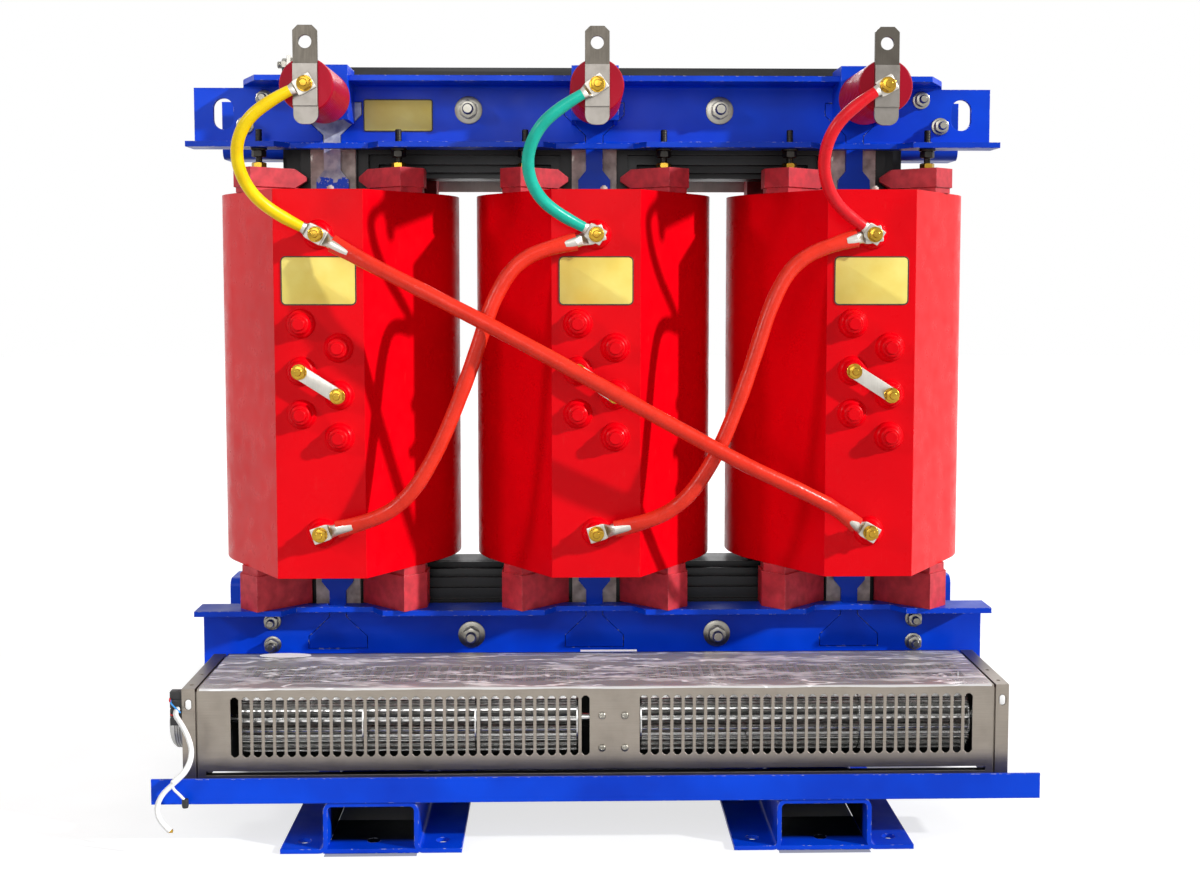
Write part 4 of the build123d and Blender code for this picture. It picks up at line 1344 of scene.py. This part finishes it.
@dataclass
class Film:
    """The crumpled film over the front fan's top, with two bare labels."""

    half: float = 541.0
    columns: int = 120
    rows: int = 26
    edge: Point = (-345.4, 187.0, 216.3)
    hem: tuple[float, float] = (-345.7, 215.6)
    label_sheet: float = 0.3

    def build(self) -> None:
        """Build film and labels."""
        form = Form("film", FILM)
        noise = random.Random(7)
        front, deep, top = self.edge
        grid = []
        for i in range(self.columns + 1):
            x = -self.half + 2 * self.half * i / self.columns
            line = []
            for j in range(self.rows + 1):
                y = front + deep * j / self.rows
                inner = min(j, self.rows - j, 3) / 3
                wave = 0.5 + 0.5 * math.sin(x / 47 + 2.2 * math.sin(y / 31)) * math.cos(y / 23 + x / 150)
                lift = inner * (1.6 * wave + 1.4 * noise.random())
                line.append(form.bm.verts.new((x, y, top + lift)))
            hem = 1.6 + 0.5 * math.sin(x / 29) + 0.4 * noise.random()
            line.insert(0, form.bm.verts.new((x, self.hem[0], self.hem[1] - hem)))
            grid.append(line)
        for left, right in zip(grid, grid[1:]):
            for j in range(self.rows + 1):
                form.bm.faces.new((left[j], right[j], right[j + 1], left[j + 1]))
        form.finish_up(angle=60)
        turns = [i / 16 * math.pi for i in range(32)]
        oval = [(-455 + 38 * math.cos(turn), -178 + 13 * math.sin(turn)) for turn in turns]
        self.label("oval_label", oval, 219.6)
        self.label("strip_label", [(-22, -164), (62, -164), (62, -154), (-22, -154)], 219.4)

    def label(self, name: str, outline: Profile, z: float) -> None:
        """A bare label on the film.

        Args:
            name: Name of the piece.
            outline: Its corners in X and Y.
            z: Height of its underside.
        """
        label = Form(name, STICKER)
        label.plate(outline, lambda a, b, height: (a, b, z + height), self.label_sheet, 0.0)
        label.finish_up()


@dataclass
class Fan:
    """What dresses both fan units: screws, motors, grommets and terminal blocks."""

    face: float = 345.0
    end: float = 565.0
    axle: tuple[float, float] = (289.0, 158.0)
    screws_x: tuple[int, int] = (6, 37)
    screws_z: tuple[int, int] = (131, 176)
    grommet: Point = (556.0, 343.6, 194.5)
    block_y: tuple[float, float] = (328.0, 343.0)
    block_z: tuple[float, ...] = (165.0, 177.0, 189.0, 201.0)

    def build(self) -> None:
        """Build the pieces of both fans."""
        self.screws()
        for side, way in WAYS.items():
            self.motor(side, way)
        self.end_slots()
        self.terminal_blocks()

    def screws(self) -> None:
        """Pan-head screws of the middle bracket."""
        form = Form("fan_screws", ZINC)
        profile = [(5.2, 0), (5.2, 0.8), (4.2, 2.2), (2.2, 2.9), (2.0, 1.6), (0.1, 1.6)]
        for y, axis in ((-self.face, Axis.FRONT), (self.face, Axis.REAR)):
            for x in self.screws_x:
                for z in self.screws_z:
                    form.turned((x, y, z), axis, profile, 24)
        form.finish_up()

    def motor(self, side: str, way: int) -> None:
        """The motor outside the left end box: a ribbed can with a dished end.

        Args:
            side: front or rear.
            way: -1 for the front and 1 for the rear.
        """
        form = Form(f"motor_{side}", CAST)
        y, z = self.axle
        profile = [(30, 0), (37.4, 0), (38, 0.6)]
        for i in range(4):
            at = 3 + 3.4 * i
            profile += [(38, at), (36.8, at + 0.7), (36.8, at + 1.5), (38, at + 2.2)]
        profile += [(37.5, 17.5), (34.5, 21.2), (29.5, 23.8), (12, 23.8), (10, 22.4), (0.1, 22.4)]
        form.turned((-self.end, way * y, z), Axis.LEFT, profile, 56)
        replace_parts(form.finish_up(angle=40), "fan_motors")

    def end_slots(self) -> None:
        """The pale grommets in the slots of the end boxes."""
        form = Form("end_slot_grommets", WHITE)
        half, y, z = self.grommet
        for way in WAYS.values():
            for x in (-half, half):
                slot = rounded(x - 3.7, x + 3.7, z - 6.9, z + 6.9, 3.6, 6)
                form.plate(slot, facing(way * y, way), 1.2, 0.3)
        form.finish_up()

    def terminal_blocks(self) -> None:
        """Moulded terminal blocks with clamp screws and the motor's wires."""
        form = Form("terminal_block_bodies", BLACK)
        low, high = self.block_z[0] + 0.4, self.block_z[-1] + 10.6

        def side(a: float, b: float, height: float) -> Point:
            """A plane that looks to the left from the end box."""
            return (-self.end - 0.5 - height, a, b)

        for way in WAYS.values():
            y0, y1 = sorted(way * y for y in self.block_y)
            for z in self.block_z:
                form.plate(rounded(y0, y1, z, z + 11, 1.2, 3), side, 16.0, 0.6)
            form.plate(rounded(y0 + 1, y1 - 1, low, high, 1.0, 3), side, 13.0, 0.4)
        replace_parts(form.finish_up(), "fan_terminal_blocks")
        heads = Form("terminal_block_screws", ZINC)
        middle = sum(self.block_y) / 2
        head = [(3.2, 0), (3.2, 0.8), (2.6, 1.2), (0.1, 1.2)]
        for way in WAYS.values():
            for z in self.block_z:
                heads.turned((-self.end - 16.4, way * middle, z + 5.5), Axis.LEFT, head, 16)
        heads.finish_up()
        for name, finish, route in TERMINAL_WIRES:
            _, centres = smooth_line(name, route)
            wire = Form(name, finish)
            wire.tube(centres, lambda _: 1.1, 10)
            wire.finish_up()


# Routes of the cable, of the thin lead tied to it and of the wires at the block, in metres
CABLE_ROUTE = (
    (-0.571, -0.343, 0.188), (-0.571, -0.363, 0.188), (-0.558, -0.378, 0.179), (-0.545, -0.388, 0.161),
    (-0.540, -0.392, 0.140), (-0.547, -0.395, 0.119), (-0.563, -0.397, 0.104), (-0.580, -0.398, 0.089),
    (-0.588, -0.398, 0.070), (-0.583, -0.398, 0.051), (-0.570, -0.398, 0.039),
)
EARTH_ROUTE = (
    (-0.572, -0.349, 0.184), (-0.560, -0.374, 0.181), (-0.547, -0.386, 0.165), (-0.541, -0.394, 0.140),
    (-0.551, -0.398, 0.118), (-0.568, -0.398, 0.106), (-0.565, -0.398, 0.096), (-0.556, -0.398, 0.088),
    (-0.5495, -0.398, 0.080),
)
TERMINAL_WIRES = (
    ("red_wire", RED_WIRE, ((-0.579, -0.336, 0.203), (-0.583, -0.341, 0.204), (-0.580, -0.348, 0.200))),
    ("blue_wire", BLUE_WIRE, (
        (-0.579, -0.336, 0.199), (-0.582, -0.345, 0.200), (-0.574, -0.352, 0.194), (-0.564, -0.356, 0.187),
    )),
    ("second_red_wire", RED_WIRE, (
        (-0.579, -0.336, 0.180), (-0.584, -0.343, 0.181), (-0.576, -0.349, 0.181),
    )),
)


@dataclass
class Cable:
    """The front motor's white cable, a hanging cord, with a thin lead tied to it."""

    radius: float = 3.5
    thin: float = 1.9
    cap: Point = (-549.5, -396.6, 82.5)
    tie: Point = (-563.5, -396.6, 107.0)
    tip: Point = (-570.0, -398.0, 39.0)

    def build(self) -> None:
        curve, _ = smooth_line("fan_cord", CABLE_ROUTE)
        curve.bevel_depth = self.radius * MM
        curve.bevel_resolution = 6
        curve.use_fill_caps = True
        curve.materials.append(WHITE.material())
        cord = bpy.data.objects.new("fan_cord", curve)
        bpy.context.scene.collection.objects.link(cord)
        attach(cord, BODY)
        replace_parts(cord, "fan_cable")
        _, centres = smooth_line("earth_lead", EARTH_ROUTE)
        lead = Form("earth_lead", WHITE)
        lead.tube(centres, lambda _: self.thin, 14)
        cap = Form("earth_lead_cap", BLACK)
        cap.turned(self.cap, Axis.DOWN, [(2.4, 0), (4.4, 0.8), (4.6, 9.0), (3.8, 12.4), (0.1, 12.6)], 24)
        tie = Form("cable_tie", WHITE)
        tie.turned(self.tie, Axis.DOWN, [(4.0, 0), (4.7, 0.4), (4.7, 3.0), (4.0, 3.4)], 24)
        core = Form("cable_core", BRASS)
        core.turned(self.tip, Axis.RIGHT, [(2.6, -3), (2.6, 3.6), (0.1, 4.0)], 16)
        extras = [form.finish_up() for form in (lead, cap, tie, core)]


class CarriedNodes:
    """Finishes of the CAD nodes that are shown as they are."""

    def build(self) -> None:
        """Give each carried node its material."""
        for finish, names in DRESSED_NODES:
            for name in names.split():
                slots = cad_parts[name].data.materials
                if len(slots) == 0:
                    slots.append(finish.material())
                for i in range(len(slots)):
                    slots[i] = finish.material()
                LOG.info("node %s: %s", name, finish.name)


# Studio


@dataclass(frozen=True)
class Lamp:
    """A square area lamp: places and side in metres, power in watts."""

    name: str
    place: Point
    side: float
    power: float
    target: Point = (0.0, 0.0, 0.5)


LAMPS = (
    Lamp("left", (-3.6, -2.3, 2.3), 0.5, 50.0),
    Lamp("front", (-0.6, -4.4, 2.2), 2.2, 50.0),
    Lamp("rear", (0.6, 2.8, 2.4), 1.6, 34.0, (0.0, 0.0, 0.6)),
)


def heading(turn: float, drop: float) -> Vector:
    """A level direction to the rear, turned to the left and then dropped.

    Args:
        turn: Degrees to the left.
        drop: Degrees below the horizon.

    Returns:
        The direction.
    """
    turn, drop = math.radians(turn), math.radians(drop)
    return Vector((-math.sin(turn) * math.cos(drop), math.cos(turn) * math.cos(drop), -math.sin(drop)))


def set_up(name: str, data: bpy.types.ID, place: Vector, way: Vector) -> bpy.types.Object:
    """Put a lamp or a camera in the scene.

    Args:
        name: Its name.
        data: Its data.
        place: Where it stands, in metres.
        way: Direction in which it looks.

    Returns:
        The object.
    """
    thing = bpy.data.objects.new(name, data)
    bpy.context.scene.collection.objects.link(thing)
    thing.matrix_world = Matrix.Translation(place) @ way.to_track_quat("-Z", "Y").to_matrix().to_4x4()
    return thing


@dataclass
class Studio:
    """Floor, light and camera."""

    camera_at: Point = (-41.7, -2381.5, 777.0)
    pitch: float = 4.10
    yaw: float = 1.26
    focal: float = 1518.2
    centre: tuple[float, float] = (600.0, 383.5)
    image: tuple[int, int] = (1200, 895)
    sensor: float = 36.0
    key_azimuth: float = 65.5
    key_height: float = 25.0
    key_strength: float = 3.9
    key_angle: float = 2.0
    world_light: float = 0.21
    floor_half: float = 12.0
    floor_z: float = -0.0004

    def build(self) -> None:
        """Set the scene."""
        bpy.context.scene.view_settings.view_transform = "Standard"
        self.floor()
        self.world()
        self.sun()
        for lamp in LAMPS:
            self.lamp(lamp)
        self.camera()

    def floor(self) -> None:
        """A plain pale floor."""
        mesh = bpy.data.meshes.new("floor")
        half = self.floor_half
        corners = [(x * half, y * half, self.floor_z) for x, y in ((-1, -1), (1, -1), (1, 1), (-1, 1))]
        mesh.from_pydata(corners, [], [(0, 1, 2, 3)])
        mesh.materials.append(FLOOR.material())
        floor = bpy.data.objects.new("floor", mesh)
        bpy.context.scene.collection.objects.link(floor)

    def world(self) -> None:
        """A pale surround that the camera sees as white."""
        world = bpy.data.worlds.new("surround")
        bpy.context.scene.world = world
        world.use_nodes = True
        tree = world.node_tree
        back = tree.nodes["Background"]
        back.inputs["Color"].default_value = (1.0, 1.0, 1.0, 1.0)
        lift = tree.nodes.new("ShaderNodeMapRange")
        tree.links.new(seen_straight(tree), lift.inputs["Value"])
        lift.inputs["To Min"].default_value = self.world_light
        lift.inputs["To Max"].default_value = 1.0
        tree.links.new(lift.outputs[0], back.inputs["Strength"])

    def sun(self) -> None:
        """The key light: one distant lamp, small enough for crisp shadows."""
        data = bpy.data.lights.new("key", "SUN")
        data.energy = self.key_strength
        data.angle = math.radians(self.key_angle)
        set_up("key", data, Vector(), heading(self.key_azimuth, self.key_height))

    def lamp(self, lamp: Lamp) -> None:
        """One area lamp.

        Args:
            lamp: Its place, size and power.
        """
        data = bpy.data.lights.new(lamp.name, "AREA")
        data.size, data.energy = lamp.side, lamp.power
        set_up(lamp.name, data, Vector(lamp.place), Vector(lamp.target) - Vector(lamp.place))

    def camera(self) -> None:
        """The camera at the photograph's place and angle."""
        data = bpy.data.cameras.new("camera")
        width, height = self.image
        data.sensor_width = self.sensor
        data.sensor_fit = "HORIZONTAL"
        data.lens = self.focal * self.sensor / width
        data.shift_x = (width / 2 - self.centre[0]) / width
        data.shift_y = (self.centre[1] - height / 2) / width
        camera = set_up("camera", data, Vector(self.camera_at) * MM, heading(-self.yaw, self.pitch))
        bpy.context.scene.camera = camera


def main() -> None:
    """Dress the transformer and set the scene."""
    logging.basicConfig(level=logging.INFO, format="%(message)s")
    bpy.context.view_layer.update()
    for part in (CarriedNodes, Fasteners, Terminals, Leads, Plates, Film, Fan, Cable, Studio):
        part().build()


if __name__ == "__main__":
    main()
